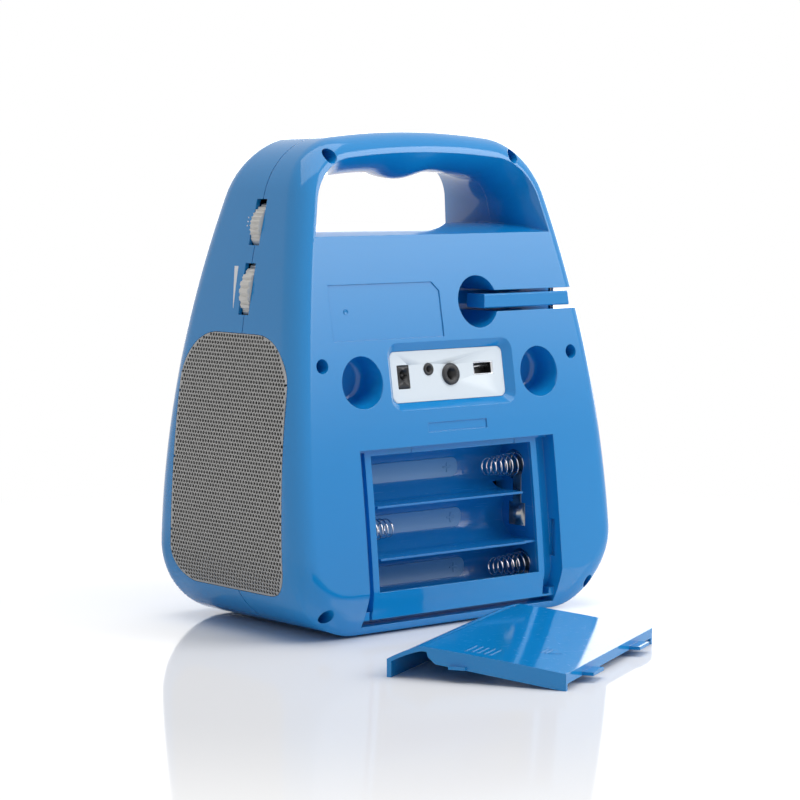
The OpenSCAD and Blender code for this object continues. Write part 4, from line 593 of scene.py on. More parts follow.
def cutBay(shell):
    b, c = bay, cover
    step = c["thick"] + 1
    recess = [(reach, b["foot"]), (coverSeat - 1, b["foot"]), (coverSeat - 1, b["foot"] + step),
              (lipY, b["foot"] + step), (lipY, boxLow)]
    recess += [(rearY(z) - b["ledge"], z) for z in spread(b["openFoot"], b["top"], 24)] + [(reach, b["top"])]
    cut(shell, prism("recess", "X", -bayX, bayX, recess))
    cut(shell, prism("boxRoom", "X", -boxX - b["gap"], boxX + b["gap"],
                     [(0, boxLow - b["gap"])] + boxFront(b["gap"]) + [(0, boxHigh + b["gap"])]))
    cut(shell, block("mouth", -openX, openX, rowY(0), reach, b["openFoot"], b["openTop"]))
    for s in (-1, 1):
        x0, x1 = sorted((s * bayX, s * (bayX - b["grooveWidth"])))
        cut(shell, behind("groove", x0, x1, b["openFoot"] - 10, b["top"] - 2, b["grooveDeep"]))
        half = c["tabWidth"] / 2 + c["tabGap"]
        cut(shell, block("tabSlot", s * c["tabX"] - half, s * c["tabX"] + half, rearY(b["top"]) - b["ledge"],
                         rearY(b["top"]) - c["tabDeep"] + c["tabGap"], b["openTop"],
                         b["top"] + c["tabLength"] + 2))
    cut(shell, block("latchSlot", -bayX - c["barbOut"] - 0.4, -bayX + 1, backY(c["latchLow"]) - b["grooveDeep"] - 0.5,
                     backY(c["latchLow"]) - b["ledge"] + 0.5, c["latchLow"], c["latchHigh"]))
    cut(shell, block("rightNotch", bayX - 7.6, bayX - 5.6, lipY - 8, reach, b["foot"] + 2, b["foot"] + 12))
    cut(shell, block("leftNotch", -bayX + 3.5, -bayX + 8.5, lipY - 8, reach, b["foot"] + 4.5, b["foot"] + 13.5))


def cutLabels(shell):
    p = labelPlace
    outline = [(p["x0"], p["z0"]), (p["x1"], p["z0"]), (p["x1"], p["z1"]), (p["x0"] + p["corner"], p["z1"]),
               (p["x0"], p["z1"] - p["corner"])]
    cut(shell, keepInside(prism("label", "Y", 20, reach, outline),
                          behind("labelSkin", p["x0"] - 1, p["x1"] + 1, p["z0"] - 1, p["z1"] + 1, p["deep"])))
    half = p["tagHeight"] / 2
    cut(shell, behind("tag", -p["tagWidth"] / 2, p["tagWidth"] / 2, p["tagZ"] - half, p["tagZ"] + half, p["deep"]))
    back = rearY(p["dotZ"])
    face = back - p["deep"]
    fuse(shell, lathe("labelDot", "Y", (p["dotX"], 0, p["dotZ"]),
                      [(back - 2, 0), (back - 2, 1.6), (face + 0.25, 1.6),
                       (face + 0.4, 1.4), (face + 0.05, 0.8), (face + 0.05, 0)], 40))


door = {"z": 123, "radius": 70, "foot": 60, "thick": 7, "gap": 0.8, "barrel": 4, "barrelLength": 60,
        "hingeDeep": 6, "pinLength": 72, "pinRadius": 1.5, "trayRim": 9.4}
buttons = {"upperZ": 203, "upperX": 60, "radius": 6.5, "gap": 0.4, "keyZ": 32, "keyPitch": 26,
           "boardDeep": 11, "postOut": 15, "postRadius": 3.4, "out": 1.4, "dish": 0.5, "edge": 0.5,
           "flange": 4, "travel": 1.6}
display = {"width": 54, "height": 16, "corner": 2}
keySpots = [((i - 1.5) * buttons["keyPitch"], buttons["keyZ"]) for i in range(4)]
upperSpots = [(s * buttons["upperX"], buttons["upperZ"]) for s in (1, -1)]


def doorDisc(name, r, foot, z0, z1):
    place = onFront(0, door["z"])
    a = math.asin(foot / r)
    n = 160
    outline = [(r * math.cos(t), r * math.sin(t)) for t in spread(-a, math.pi + a, n)]
    return prism(name, "Z", z0, z1, outline, place)


def hingeRod(name, r, x0, x1):
    return rod(name, "X", (0, -door["foot"], -door["hingeDeep"]), r, x0, x1, 48, onFront(0, door["z"]))


def makeFrontShell():
    wall = cabinet["wall"]
    shell = cut(frontSolid("frontShell", 0, 0), frontSolid("hollow", wall, 1))
    place = onFront(0, door["z"])
    d, b = door, buttons
    openRadius = d["radius"] + d["gap"]
    cove = d["barrel"] + 1
    half = d["pinLength"] / 2
    extras = holeSolid("throat", wall)
    fuse(extras, doorDisc("collar", openRadius + 2.2, d["foot"] + 8, -d["trayRim"], 20),
         hingeRod("coveWall", cove + 2, -half - 3, half + 3))
    for x, z in wellSpots():
        fuse(extras, rod("boss", "Y", (x, 0, z), screwWells["radius"], -reach, 0, 48))
    posts = [(s * (b["upperX"] + b["postOut"]), b["upperZ"]) for s in (-1, 1)]
    posts += [(s * (1.5 * b["keyPitch"] + b["postOut"]), b["keyZ"]) for s in (-1, 1)]
    for x, z in posts:
        fuse(extras, rod("post", "Z", (0, 0, 0), b["postRadius"], -b["boardDeep"], 9, 32, onFront(x, z)))
    for x, z in ((-13, -3), (5, -11.2)):
        fuse(extras, rod("post", "Y", (volumeX + x, 0, volumeAxisZ + z), b["postRadius"], -reach,
                         wheels["controlY"] - 0.8, 32))
    fuse(extras, *bothSides(baffleSolid))
    fuse(shell, keepInside(extras, frontSolid("skin", 0, 0)))
    cut(shell, holeSolid("throatCut", 0))
    cut(shell, doorDisc("doorRoom", openRadius, d["foot"] + d["gap"], -d["trayRim"] - 1, 20))
    cut(shell, hingeRod("cove", cove, -half, half))
    cut(shell, block("coveRoom", -half, half, -d["foot"] - cove, -d["foot"] + 4, -d["hingeDeep"], 14, place))
    for x, z in keySpots + upperSpots:
        r = b["radius"] + b["gap"]
        profile = [(-6, 0), (-6, r), (-0.5, r), (0.4, r + 0.9), (6, r + 0.9), (6, 0)]
        cut(shell, lathe("buttonHole", "Z", (0, 0, 0), profile, 72, onFront(x, z)))
    cut(shell, slab("windowHole", display["width"] + 0.4, display["height"] + 0.4, display["corner"], -6, 6,
                    onFront(0, b["upperZ"])))
    cutBaffle(shell)
    cutWheelSlots(shell)
    cutFootSeats(shell)
    knuckles = []
    for s in (-1, 1):
        x = s * (d["barrelLength"] / 2 + 3)
        knuckle = hingeRod("knuckle", d["barrel"] - 0.3, x - 2.6, x + 2.6)
        fuse(knuckle, block("root", x - 2.6, x + 2.6, -d["foot"] - cove - 1, -d["foot"], -d["hingeDeep"] - 1.6,
                            -d["hingeDeep"] + 1.6, place))
        knuckles.append(cut(knuckle, hingeRod("bore", d["pinRadius"], x - 9, x + 9)))
    cutSeam(shell, -seam["wide"], 0.1)
    return fuse(shell, *knuckles)


# Battery bay: three troughs with the raised cell outlines on their +X half
cellMark = {"x0": -27, "x1": 53, "halfWidth": 5.4, "raise": 0.35, "signX": (-19, 46), "sign": 5.6, "stroke": 0.9}


def makeBatteryBox():
    b = bay
    back = b["rowDeep"] + trough + b["wall"]
    box = prism("batteryBox", "X", -boxX, boxX, [(lipY - 20, boxLow)] + boxFront(0)
                + [(rearY(boxHigh) - back, boxHigh), (rearY(b["rowZ"]) - back, boxLow)])
    pocketWall = [(backY(z) - frameDeep - b["gap"], z) for z in spread(boxLow + 2, boxHigh, 16)]
    fuse(box, prism("pockets", "X", -pocketEnd - b["wall"], pocketEnd + b["wall"], pocketWall
                    + [(rearY(boxHigh) - back, boxHigh), (rearY(b["rowZ"]) - back, boxLow + 2)]))
    for i in range(2):
        z = rowZ(i) + b["rowPitch"] / 2
        fuse(box, block("divider", -openX + 8.6, openX - 2, rearY(z) - b["rowDeep"], rearY(z) - b["ledge"],
                        z - 0.7, z + 0.7))
    for i in range(3):
        s = -1 if i % 2 == 0 else 1
        cut(box, rod("trough", "X", (0, rowY(i), rowZ(i)), trough, -openX, openX))
        cut(box, block("troughMouth", -openX, openX, rowY(i), reach, rowZ(i) - trough, rowZ(i) + trough))
        x0, x1 = (-pocketEnd, -openX + 1) if s < 0 else (openX - 1, pocketEnd)
        cut(box, rod("springPocket", "X", (0, rowY(i), rowZ(i)), b["pocketRadius"], x0, x1))
    for i in range(2):
        s = 1 if i == 0 else -1
        x, w = (openX - 1, 2) if s > 0 else (-openX + 4.3, 8.6)
        y, z = rowY(i) - 2, rowZ(i) + b["rowPitch"] / 2
        cut(box, block("stripRoom", x - w / 2, x + w / 2, y - 17, y + 17, z - 4, z + 4))
    for i in range(3):
        m = cellMark
        edge = [(m["x0"] + m["halfWidth"] - m["halfWidth"] * math.cos(a), m["halfWidth"] * math.sin(a))
                for a in spread(-math.pi / 2, math.pi / 2, 20)]
        outline = [(m["x1"], -m["halfWidth"])] + edge + [(m["x1"], m["halfWidth"])]
        plate = prism("cellMark", "Y", rowY(i) - trough - 1, rowY(i), [(x, rowZ(i) + v) for x, v in outline])
        ring = cut(rod("skin", "X", (0, rowY(i), rowZ(i)), trough + 1, -openX, openX),
                   rod("core", "X", (0, rowY(i), rowZ(i)), trough - m["raise"], -reach, reach))
        signs = [block("sign", x - m["sign"] / 2, x + m["sign"] / 2, rowY(i) - trough - 1, rowY(i),
                       rowZ(i) - m["stroke"] / 2, rowZ(i) + m["stroke"] / 2) for x in m["signX"]]
        x = m["signX"][0]
        signs.append(block("sign", x - m["stroke"] / 2, x + m["stroke"] / 2, rowY(i) - trough - 1, rowY(i),
                           rowZ(i) - m["sign"] / 2, rowZ(i) + m["sign"] / 2))
        core = cut(rod("skin", "X", (0, rowY(i), rowZ(i)), trough + 1, -openX, openX),
                   rod("core", "X", (0, rowY(i), rowZ(i)), trough - 2 * m["raise"], -reach, reach))
        fuse(box, keepInside(plate, ring), keepInside(fuse(*signs), core))
    return box


# The raised cell outlines are left matt by the mould
def frostMarks(box, material):
    m = cellMark
    box.data.materials.append(material)
    for face in box.data.polygons:
        at = face.center / mm
        for i in range(3):
            r = math.hypot(at.y - rowY(i), at.z - rowZ(i))
            if m["x0"] - 1 < at.x < m["x1"] + 1 and r < trough - 0.5 * m["raise"] and at.y < rowY(i) \
                    and abs(at.z - rowZ(i)) < m["halfWidth"] + 0.2:
                face.material_index = 1
    return box


spring = {"baseRadius": 7.2, "tipRadius": 4.8, "length": 29.5, "turns": 7, "wire": 0.45, "lead": 1,
          "bendRadius": 1, "pointsPerTurn": 40, "sides": 12, "plate": 0.5}


def makeSpring(name, row, side):
    s = spring
    line = [(0, s["baseRadius"], 0.0)]
    for a in spread(0, 60, 6):
        t = math.radians(a)
        line.append((s["lead"] + s["bendRadius"] * math.sin(t), s["baseRadius"],
                     s["bendRadius"] * (1 - math.cos(t)) / s["baseRadius"]))
    start = s["lead"] + s["bendRadius"]
    total = int(s["turns"] * s["pointsPerTurn"])
    for k in range(total + 1):
        t = k / total
        line.append((start + (s["length"] - start) * t, s["baseRadius"] + (s["tipRadius"] - s["baseRadius"]) * t,
                     2 * math.pi * k / s["pointsPerTurn"] + math.radians(8)))
    path = [Vector((x, r * math.cos(a), r * math.sin(a))) for x, r, a in line]
    points, n = [], s["sides"]
    for i, p in enumerate(path):
        ahead = Vector((1, 0, 0)) if i == 0 else (path[min(i + 1, len(path) - 1)] - path[i - 1]).normalized()
        radial = Vector((0, math.cos(line[i][2]), math.sin(line[i][2])))
        u = (radial - ahead * radial.dot(ahead)).normalized()
        v = ahead.cross(u)
        points += [p + s["wire"] * (u * math.cos(2 * math.pi * k / n) + v * math.sin(2 * math.pi * k / n))
                   for k in range(n)]
    faces = loftFaces(len(path), n) + [tuple(range(n)), tuple(range(len(points) - n, len(points)))]
    place = Matrix.Translation((side * (pocketEnd - 0.1 - s["plate"]), rowY(row), rowZ(row)))
    if side > 0:
        place = place @ Matrix.Rotation(math.pi, 4, "Z")
    return smooth(solid(name, points, faces, place), 50)


# The cover is drawn closed over the bay, then laid on the floor
coverMarks = {"arrowX": -31, "arrowZ": 80, "arrowSize": 9, "raise": 0.3, "ribs": 5, "ribPitch": 3.2,
              "ribLength": 15, "ribX": -63, "ribZ": 46}


def coverBand(z0, z1, n, d0, d1):
    return backPath(z0, z1, n, d0) + list(reversed(backPath(z0, z1, n, d1)))


def makeCover():
    c = cover
    t = c["thick"]
    half = bayX - c["gap"]
    piece = prism("batteryCover", "X", -half, half, coverBand(coverFoot, coverTop, 96, 0, t))
    for s in (-1, 1):
        x = s * (half - t / 2)
        side = backPath(bend + 2, coverTop, 24, t / 2) + [
            (coverSeat, coverTop), (coverSeat, coverTop - 2), (backY(bend) - c["skirt"], bend + 7),
            (backY(bend) - c["skirt"] * 0.6, bend + 3)]
        fuse(piece, prism("skirt", "X", x - t / 2, x + t / 2, side))
        x0, x1 = s * c["tabX"] - c["tabWidth"] / 2, s * c["tabX"] + c["tabWidth"] / 2
        y = backY(coverTop)
        fuse(piece, block("tab", x0, x1, y - c["tabDeep"] - c["tabThick"], y - c["tabDeep"], coverTop - 1,
                          coverTop + c["tabLength"]))
        fuse(piece, block("tabRoot", x0, x1, y - c["tabDeep"] - c["tabThick"], y - t / 2, coverTop - 2.5,
                          coverTop - 0.5))
    y = backY(coverTop)
    fuse(piece, block("topWall", -half, half, y - c["skirt"] * 0.6, y - t / 2, coverTop - t, coverTop))
    fuse(piece, prism("footWall", "X", -half, half, [
        (backY(coverFoot) - t / 2, coverFoot), (coverSeat, coverFoot), (coverSeat, coverFoot + t),
        (backY(coverFoot + t) - t / 2, coverFoot + t)]))
    z = (c["latchLow"] + c["latchHigh"]) / 2 + 2
    y = backY(z)
    fuse(piece, block("barb", -half - c["barbOut"], -half + 0.2, y - c["skirt"], y - c["skirt"] + 1.6,
                      z - c["barbWidth"] / 2, z + c["barbWidth"] / 2))
    for z0 in (z - c["barbWidth"] / 2, z + c["barbWidth"] / 2 - 1.4):
        fuse(piece, block("rib", -half + t, -half + 11, y - 6, y - t / 2, z0, z0 + 1.4))
    return piece


def layCover(piece):
    turn = (Matrix.Translation((cover["x"], cover["y"], backY(bend) - coverSeat))
            @ Matrix.Rotation(math.radians(cover["turn"]), 4, "Z") @ Matrix.Rotation(math.pi / 2, 4, "X")
            @ Matrix.Translation((0, -backY(bend), -bend)))
    for vertex in piece.data.vertices:
        vertex.co = (turn @ (vertex.co / mm)) * mm
    return piece


# Adds nodes to a tree; an input is either a value or another node's output
class Wiring:
    def __init__(self, tree):
        self.tree = tree

    def add(self, kind, inputs=(), **values):
        made = self.tree.nodes.new(kind)
        for key, value in values.items():
            setattr(made, key, value)
        for key, value in dict(inputs).items():
            self.put(value, made.inputs[key])
        return made

    def put(self, value, socket):
        if hasattr(value, "is_output"):
            self.tree.links.new(value, socket)
        else:
            socket.default_value = value

    def maths(self, how, a, b=0.0, clamp=False):
        return self.add("ShaderNodeMath", {0: a, 1: b}, operation=how, use_clamp=clamp).outputs[0]

    def vector(self, x, y, z):
        return self.add("ShaderNodeCombineXYZ", {0: x, 1: y, 2: z}).outputs[0]

    def ramp(self, value, low, high, a=0.0, b=1.0):
        made = self.add("ShaderNodeMapRange", {"Value": value, "From Min": low, "From Max": high,
                                               "To Min": a, "To Max": b}, interpolation_type="SMOOTHSTEP")
        return made.outputs["Result"]

    def mix(self, amount, a, b):
        made = self.add("ShaderNodeMix", data_type="RGBA")
        self.put(amount, made.inputs[0])
        self.put(a, made.inputs[6])
        self.put(b, made.inputs[7])
        return made.outputs[2]

    def noise(self, scale, detail=2.0, stretch=None, rough=0.5):
        place = self.add("ShaderNodeTexCoord").outputs["Object"]
        if stretch:
            place = self.add("ShaderNodeMapping", {"Vector": place, "Scale": stretch}).outputs[0]
        made = self.add("ShaderNodeTexNoise", {"Vector": place, "Scale": scale, "Detail": detail,
                                               "Roughness": rough})
        return made.outputs[0]


def newGroup(name, inputs, outputs, kind="ShaderNodeTree"):
    tree = bpy.data.node_groups.new(name, kind)
    for label, socketType, value in inputs:
        socket = tree.interface.new_socket(label, in_out="INPUT", socket_type=socketType)
        if value is not None:
            socket.default_value = value
    for label, socketType in outputs:
        tree.interface.new_socket(label, in_out="OUTPUT", socket_type=socketType)
    return tree, Wiring(tree), tree.nodes.new("NodeGroupInput"), tree.nodes.new("NodeGroupOutput")


# Instances are made real and given their finish, since the export drops instances
def finishTree(w, shape, g, out):
    real = w.add("GeometryNodeRealizeInstances", {0: shape})
    paint = w.add("GeometryNodeSetMaterial", {"Geometry": real.outputs[0], "Material": g["Material"]})
    w.put(paint.outputs[0], out.inputs[0])


# Punches a staggered field of holes through a sheet
def punchTree():
    tree, w, given, out = newGroup("punchedSheet", [
        ("Geometry", "NodeSocketGeometry", None), ("Field", "NodeSocketObject", None),
        ("Pitch", "NodeSocketFloat", 0.0025), ("Hole Radius", "NodeSocketFloat", 0.0008),
        ("Side", "NodeSocketFloat", 1.0), ("Low", "NodeSocketFloat", 0.02), ("Front", "NodeSocketFloat", -0.06),
        ("Columns", "NodeSocketInt", 44), ("Rows", "NodeSocketInt", 70), ("Material", "NodeSocketMaterial", None)],
        [("Geometry", "NodeSocketGeometry")], "GeometryNodeTree")
    g = given.outputs
    rise = w.maths("MULTIPLY", g["Pitch"], math.sqrt(3) / 2)
    rows = w.add("GeometryNodeMeshLine", {"Count": g["Rows"], "Start Location": w.vector(0, g["Front"], g["Low"]),
                                          "Offset": w.vector(0, 0, rise)})
    odd = w.maths("MODULO", w.add("GeometryNodeInputIndex").outputs[0], 2.0)
    shift = w.maths("MULTIPLY", w.maths("MULTIPLY", odd, 0.5), g["Pitch"])
    stagger = w.add("GeometryNodeSetPosition", {"Geometry": rows.outputs[0], "Offset": w.vector(0, shift, 0)})
    columns = w.add("GeometryNodeMeshLine", {"Count": g["Columns"], "Offset": w.vector(0, g["Pitch"], 0)})
    grid = w.add("GeometryNodeInstanceOnPoints", {"Points": stagger.outputs[0], "Instance": columns.outputs[0]})
    spots = w.add("GeometryNodeRealizeInstances", {0: grid.outputs[0]})

    side = w.vector(g["Side"], 0, 0)
    field = w.add("GeometryNodeObjectInfo", {"Object": g["Field"]})
    onField = w.add("GeometryNodeRaycast", {"Target Geometry": field.outputs["Geometry"], "Ray Direction": side})
    missed = w.add("FunctionNodeBooleanMath", {0: onField.outputs["Is Hit"]}, operation="NOT")
    kept = w.add("GeometryNodeDeleteGeometry", {"Geometry": spots.outputs[0], "Selection": missed.outputs[0]},
                 domain="POINT")
    onSheet = w.add("GeometryNodeRaycast", {"Target Geometry": g["Geometry"], "Ray Direction": side})
    centres = w.add("GeometryNodeSetPosition", {"Geometry": kept.outputs[0],
                                                "Position": onSheet.outputs["Hit Position"]})

    pin = w.add("GeometryNodeMeshCylinder", {"Vertices": 8, "Depth": 0.006, "Radius": g["Hole Radius"]})
    pins = w.add("GeometryNodeInstanceOnPoints", {"Points": centres.outputs[0], "Instance": pin.outputs["Mesh"],
                                                  "Rotation": (0, math.pi / 2, 0)})
    solidPins = w.add("GeometryNodeRealizeInstances", {0: pins.outputs[0]})
    punched = w.add("GeometryNodeMeshBoolean", {"Mesh 1": g["Geometry"], "Mesh 2": solidPins.outputs[0]},
                    operation="DIFFERENCE", solver="MANIFOLD")
    finishTree(w, punched.outputs["Mesh"], g, out)
    return tree


def runTree(piece, tree, values):
    step = piece.modifiers.new("nodes", "NODES")
    step.node_group = tree
    for item in tree.interface.items_tree:
        if item.item_type == "SOCKET" and item.in_out == "INPUT" and item.name in values:
            step[item.identifier] = values[item.name]
    return evaluated(piece)


def makeGrille(name, side, tree, material):
    g = grille
    sheet = cut(beyondSide(name, g["thick"], side), beyondSide("outside", 0, side))
    keepInside(sheet, prism("edge", "X", side * g["baffle"], side * far, grilleOutline(0, 16)))
    field = prism("field", "X", side * 100, side * 130, grilleOutline(-g["border"], 16))
    runTree(sheet, tree, {
        "Field": field, "Pitch": g["pitch"] * mm, "Hole Radius": g["hole"] * mm, "Side": float(side),
        "Low": g["foot"] * mm, "Front": g["front"] * mm, "Columns": g["columns"], "Rows": g["rows"],
        "Material": material})
    bpy.data.objects.remove(field)
    return smooth(sheet, 25)


# A black sheet just inside each grille: painted shade, so the room behind the holes reads dark
def makeShadeSheet(name, side):
    g = grille
    sheet = cut(beyondSide(name, g["thick"] + g["shadeSheetThick"], side),
                beyondSide("outside", g["thick"] - g["shadeSheetLap"], side))
    return keepInside(sheet, prism("edge", "X", side * g["baffle"], side * far, grilleOutline(-0.1, 16)))


# Wheels: a rim with grooves, a soft edge on both faces
def groovedDisc(name, radius, grooves, centre):
    w = wheels
    half, edge = w["width"] / 2, w["edge"]
    deep, wide = w["grooveDeep"], (w["grooveDeep"] + 0.4) / radius
    angles = set(spread(0, 2 * math.pi, 180)[:-1])
    for g in grooves:
        angles |= {(g + wide * k / 4) % (2 * math.pi) for k in range(-4, 5)}
    angles = sorted(angles)
    rings = []
    for y, inset in ((-half, edge), (-half + edge * 0.3, edge * 0.3), (-half + edge, 0), (half - edge, 0),
                     (half - edge * 0.3, edge * 0.3), (half, edge)):
        ring = []
        for a in angles:
            near = min(abs((a - g + math.pi) % (2 * math.pi) - math.pi) for g in grooves)
            r = radius - inset - deep * math.sqrt(max(0, 1 - (near / wide) ** 2))
            ring.append((centre[0] + r * math.cos(a), centre[1] + y, centre[2] + r * math.sin(a)))
        rings += ring
    n = len(angles)
    return solid(name, rings, loftFaces(6, n) + [tuple(range(n)), tuple(range(5 * n, 6 * n))])


def makeVolumeWheel():
    w = wheels
    centre = (volumeX, w["y"], volumeAxisZ)
    grooves = [2 * math.pi * i / w["volumeRibs"] for i in range(w["volumeRibs"])]
    wheel = groovedDisc("volumeWheelPiece", w["volumeRadius"], grooves, centre)
    return smooth(fuse(wheel, rod("shaft", "Y", (volumeX, 0, volumeAxisZ), w["shaft"], w["controlY"] + 2, w["y"], 48)))


def makeFunctionWheel():
    w = wheels
    centre = (functionX, w["y"], w["functionAxisZ"])
    grooves = [math.radians(w["functionStart"] - w["functionStep"] * i) for i in range(w["functionRibs"])]
    wheel = groovedDisc("functionWheelPiece", w["functionRadius"], grooves, centre)
    cut(wheel, block("flat", functionX - reach, functionX + 1 - w["shaft"] - 3, w["y"] - 9, w["y"] + 9, 100, 300))
    axis = (functionX, 0, centre[2])
    half = w["width"] / 2
    hub = rod("hub", "Y", axis, w["shaft"] + 2, w["y"] - half, w["y"] + half, 48)
    return smooth(fuse(wheel, hub, rod("shaft", "Y", axis, w["shaft"], w["controlY"] + 2, w["y"], 48)))


def makeHolder():
    h = holderSlot
    low, high = h["z"] - h["armHeight"] / 2, h["z"] + h["armHeight"] / 2
    e = h["edge"]
    y0, y1 = armY - h["armThick"], armY
    endLow, endHigh = h["endGap"] - sideX(low), h["endGap"] - sideX(high)

    def ring(x0, inset, end):
        rows = [(y0 + inset, low + e), (y0 + e, low + inset), (y1 - e, low + inset), (y1 - inset, low + e),
                (y1 - inset, high - e), (y1 - e, high - inset), (y0 + e, high - inset), (y0 + inset, high - e)]
        points = []
        for y, z in rows:
            slant = endLow + (endHigh - endLow) * (z - low) / (high - low) + inset
            points.append((slant if end else x0 - inset, y, z))
        return points

    x0 = -h["armEnd"]
    rings = [ring(x0, e, False), ring(x0 - e, 0, False), ring(0, 0, True), ring(0, e, True)]
    rings[2] = [(x + e, y, z) for x, y, z in rings[2]]
    rings[3] = [(x - e, y, z) for x, y, z in rings[3]]
    arm = solid("holderArm", [p for r in rings for p in r], loftFaces(4, 8) + [tuple(range(8)), tuple(range(24, 32))])
    cut(arm, rod("pinBore", "Z", (-h["pinX"], armY - h["pinDeep"], 0), h["pinRadius"] + 0.05, 0, 2 * h["z"], 48))
    cut(arm, rod("notch", "Z", (x0 - h["notchRadius"] - 6, y0, 0), h["notchRadius"], 0, 2 * h["z"], 72))
    return smooth(arm, 28)


# Small screws and feet are placed by a node tree from points that know which way they face
def scatterTree():
    tree, w, given, out = newGroup("placedFittings", [
        ("Geometry", "NodeSocketGeometry", None), ("Fitting", "NodeSocketObject", None),
        ("Size", "NodeSocketFloat", 1.0), ("Material", "NodeSocketMaterial", None)],
        [("Geometry", "NodeSocketGeometry")], "GeometryNodeTree")
    g = given.outputs
    facing = w.add("GeometryNodeInputNamedAttribute", {"Name": "facing"}, data_type="FLOAT_VECTOR")
    turn = w.add("FunctionNodeAlignRotationToVector", {"Vector": facing.outputs["Attribute"]}, axis="Z")
    fitting = w.add("GeometryNodeObjectInfo", {"Object": g["Fitting"]})
    fittings = w.add("GeometryNodeInstanceOnPoints", {
        "Points": g["Geometry"], "Instance": fitting.outputs["Geometry"],
        "Rotation": turn.outputs[0], "Scale": g["Size"]})
    finishTree(w, fittings.outputs[0], g, out)
    return tree


def scatter(name, tree, fitting, spots, material, angle=32):
    mesh = bpy.data.meshes.new(name)
    mesh.from_pydata([Vector(p) * mm for p, _ in spots], [], [])
    facing = mesh.attributes.new("facing", "FLOAT_VECTOR", "POINT")
    for item, (_, normal) in zip(facing.data, spots):
        item.vector = normal
    piece = linked(name, mesh)
    runTree(piece, tree, {"Fitting": fitting, "Size": 1.0, "Material": material})
    bpy.data.objects.remove(fitting)
    return smooth(piece, angle)


caseScrew = {"shank": 1.45, "head": 2.9, "headHigh": 2, "length": 16, "crossWide": 0.7, "crossLong": 3.2}
boardScrew = {"shank": 1.1, "head": 2, "headHigh": 1.4, "length": 8, "crossWide": 0.5, "crossLong": 2.2}


def makeScrew(s):
    top, r = s["headHigh"], s["head"]
    screw = lathe("screw", "Z", (0, 0, 0), [(-s["length"], 0), (-s["length"], s["shank"] * 0.55),
                  (-s["length"] + 1.6, s["shank"]), (0, s["shank"]), (0, r), (top * 0.45, r),
                  (top * 0.8, r * 0.86), (top, r * 0.5), (top, 0)], 32)
    for w, l in ((s["crossWide"], s["crossLong"]), (s["crossLong"], s["crossWide"])):
        cut(screw, block("cross", -w / 2, w / 2, -l / 2, l / 2, top * 0.45, top + 1))
    return screw


def makeFoot():
    f = feet
    high = cabinet["lift"] + f["seat"]
    r, e = f["radius"], f["edge"]
    return lathe("foot", "Z", (0, 0, 0),
                 [(0, 0), (0, r - e), (e * 0.3, r - e * 0.3), (e, r), (high, r), (high, 0)], 64)


# Materials. The groups hold what several finishes share; each finish keeps its own shader.

# Colour drift, hairline scratches, dust in the gloss and a small radius on every edge; every edge is also painted
# paler, a painted highlight broken up like wear
def mouldedGroup():
    tree, w, given, out = newGroup("mouldedSurface", [
        ("Colour", "NodeSocketColor", (0.5, 0.5, 0.5, 1)), ("Drift", "NodeSocketFloat", 0.06),
        ("Gloss Roughness", "NodeSocketFloat", 0.12), ("Scratches", "NodeSocketFloat", 0.3),
        ("Grain Scale", "NodeSocketFloat", 900.0), ("Grain Depth", "NodeSocketFloat", 0.00002),
        ("Edge Radius", "NodeSocketFloat", 0.0004), ("Edge Light", "NodeSocketFloat", 0.2)],
        [("Colour", "NodeSocketColor"), ("Roughness", "NodeSocketFloat"), ("Normal", "NodeSocketVector")])
    g = given.outputs
    soft = w.noise(14.0, 3.0)
    darker = w.mix(w.maths("MULTIPLY", g["Drift"], 4.0), g["Colour"],
                   w.add("ShaderNodeHueSaturation", {"Color": g["Colour"], "Value": 0.72}).outputs[0])
    colour = w.mix(w.maths("MULTIPLY", soft, 0.5), g["Colour"], darker)
    rounded = w.add("ShaderNodeBevel", {"Radius": g["Edge Radius"]}, samples=4).outputs[0]
    flat = w.add("ShaderNodeNewGeometry").outputs["Normal"]
    alike = w.add("ShaderNodeVectorMath", {0: rounded, 1: flat}, operation="DOT_PRODUCT").outputs["Value"]
    # Edges painted paler: a painted highlight along every edge, patchy like wear
    edge = w.maths("MULTIPLY", w.ramp(alike, 0.995, 0.86), g["Edge Light"])
    edgeSheenAndWear = w.maths("MULTIPLY", edge, w.ramp(w.noise(90.0, 3.0), 0.35, 0.7))
    paler = w.add("ShaderNodeHueSaturation", {"Color": colour, "Saturation": 0.8, "Value": 1.5}).outputs[0]
    w.put(w.mix(edgeSheenAndWear, colour, paler), out.inputs["Colour"])
    scratch = w.maths("ADD", w.ramp(w.noise(60.0, 3.0, (1.0, 40.0, 26.0)), 0.66, 0.72),
                      w.ramp(w.noise(50.0, 3.0, (38.0, 1.5, 30.0)), 0.67, 0.73))
    dust = w.ramp(w.noise(420.0, 2.0), 0.62, 0.8)
    haze = w.maths("ADD", w.maths("MULTIPLY", scratch, 0.35), w.maths("MULTIPLY", dust, 0.12))
    rough = w.maths("ADD", g["Gloss Roughness"], w.maths("MULTIPLY", haze, g["Scratches"]))
    w.put(w.maths("ADD", rough, w.maths("MULTIPLY", w.maths("SUBTRACT", soft, 0.5), 0.05), True),
          out.inputs["Roughness"])
    place = w.add("ShaderNodeTexCoord").outputs["Object"]
    grain = w.add("ShaderNodeTexNoise", {"Vector": place, "Scale": g["Grain Scale"], "Detail": 2.0}).outputs[0]
    bump = w.add("ShaderNodeBump", {"Height": grain, "Distance": g["Grain Depth"], "Normal": rounded})
    w.put(bump.outputs[0], out.inputs["Normal"])
    return tree


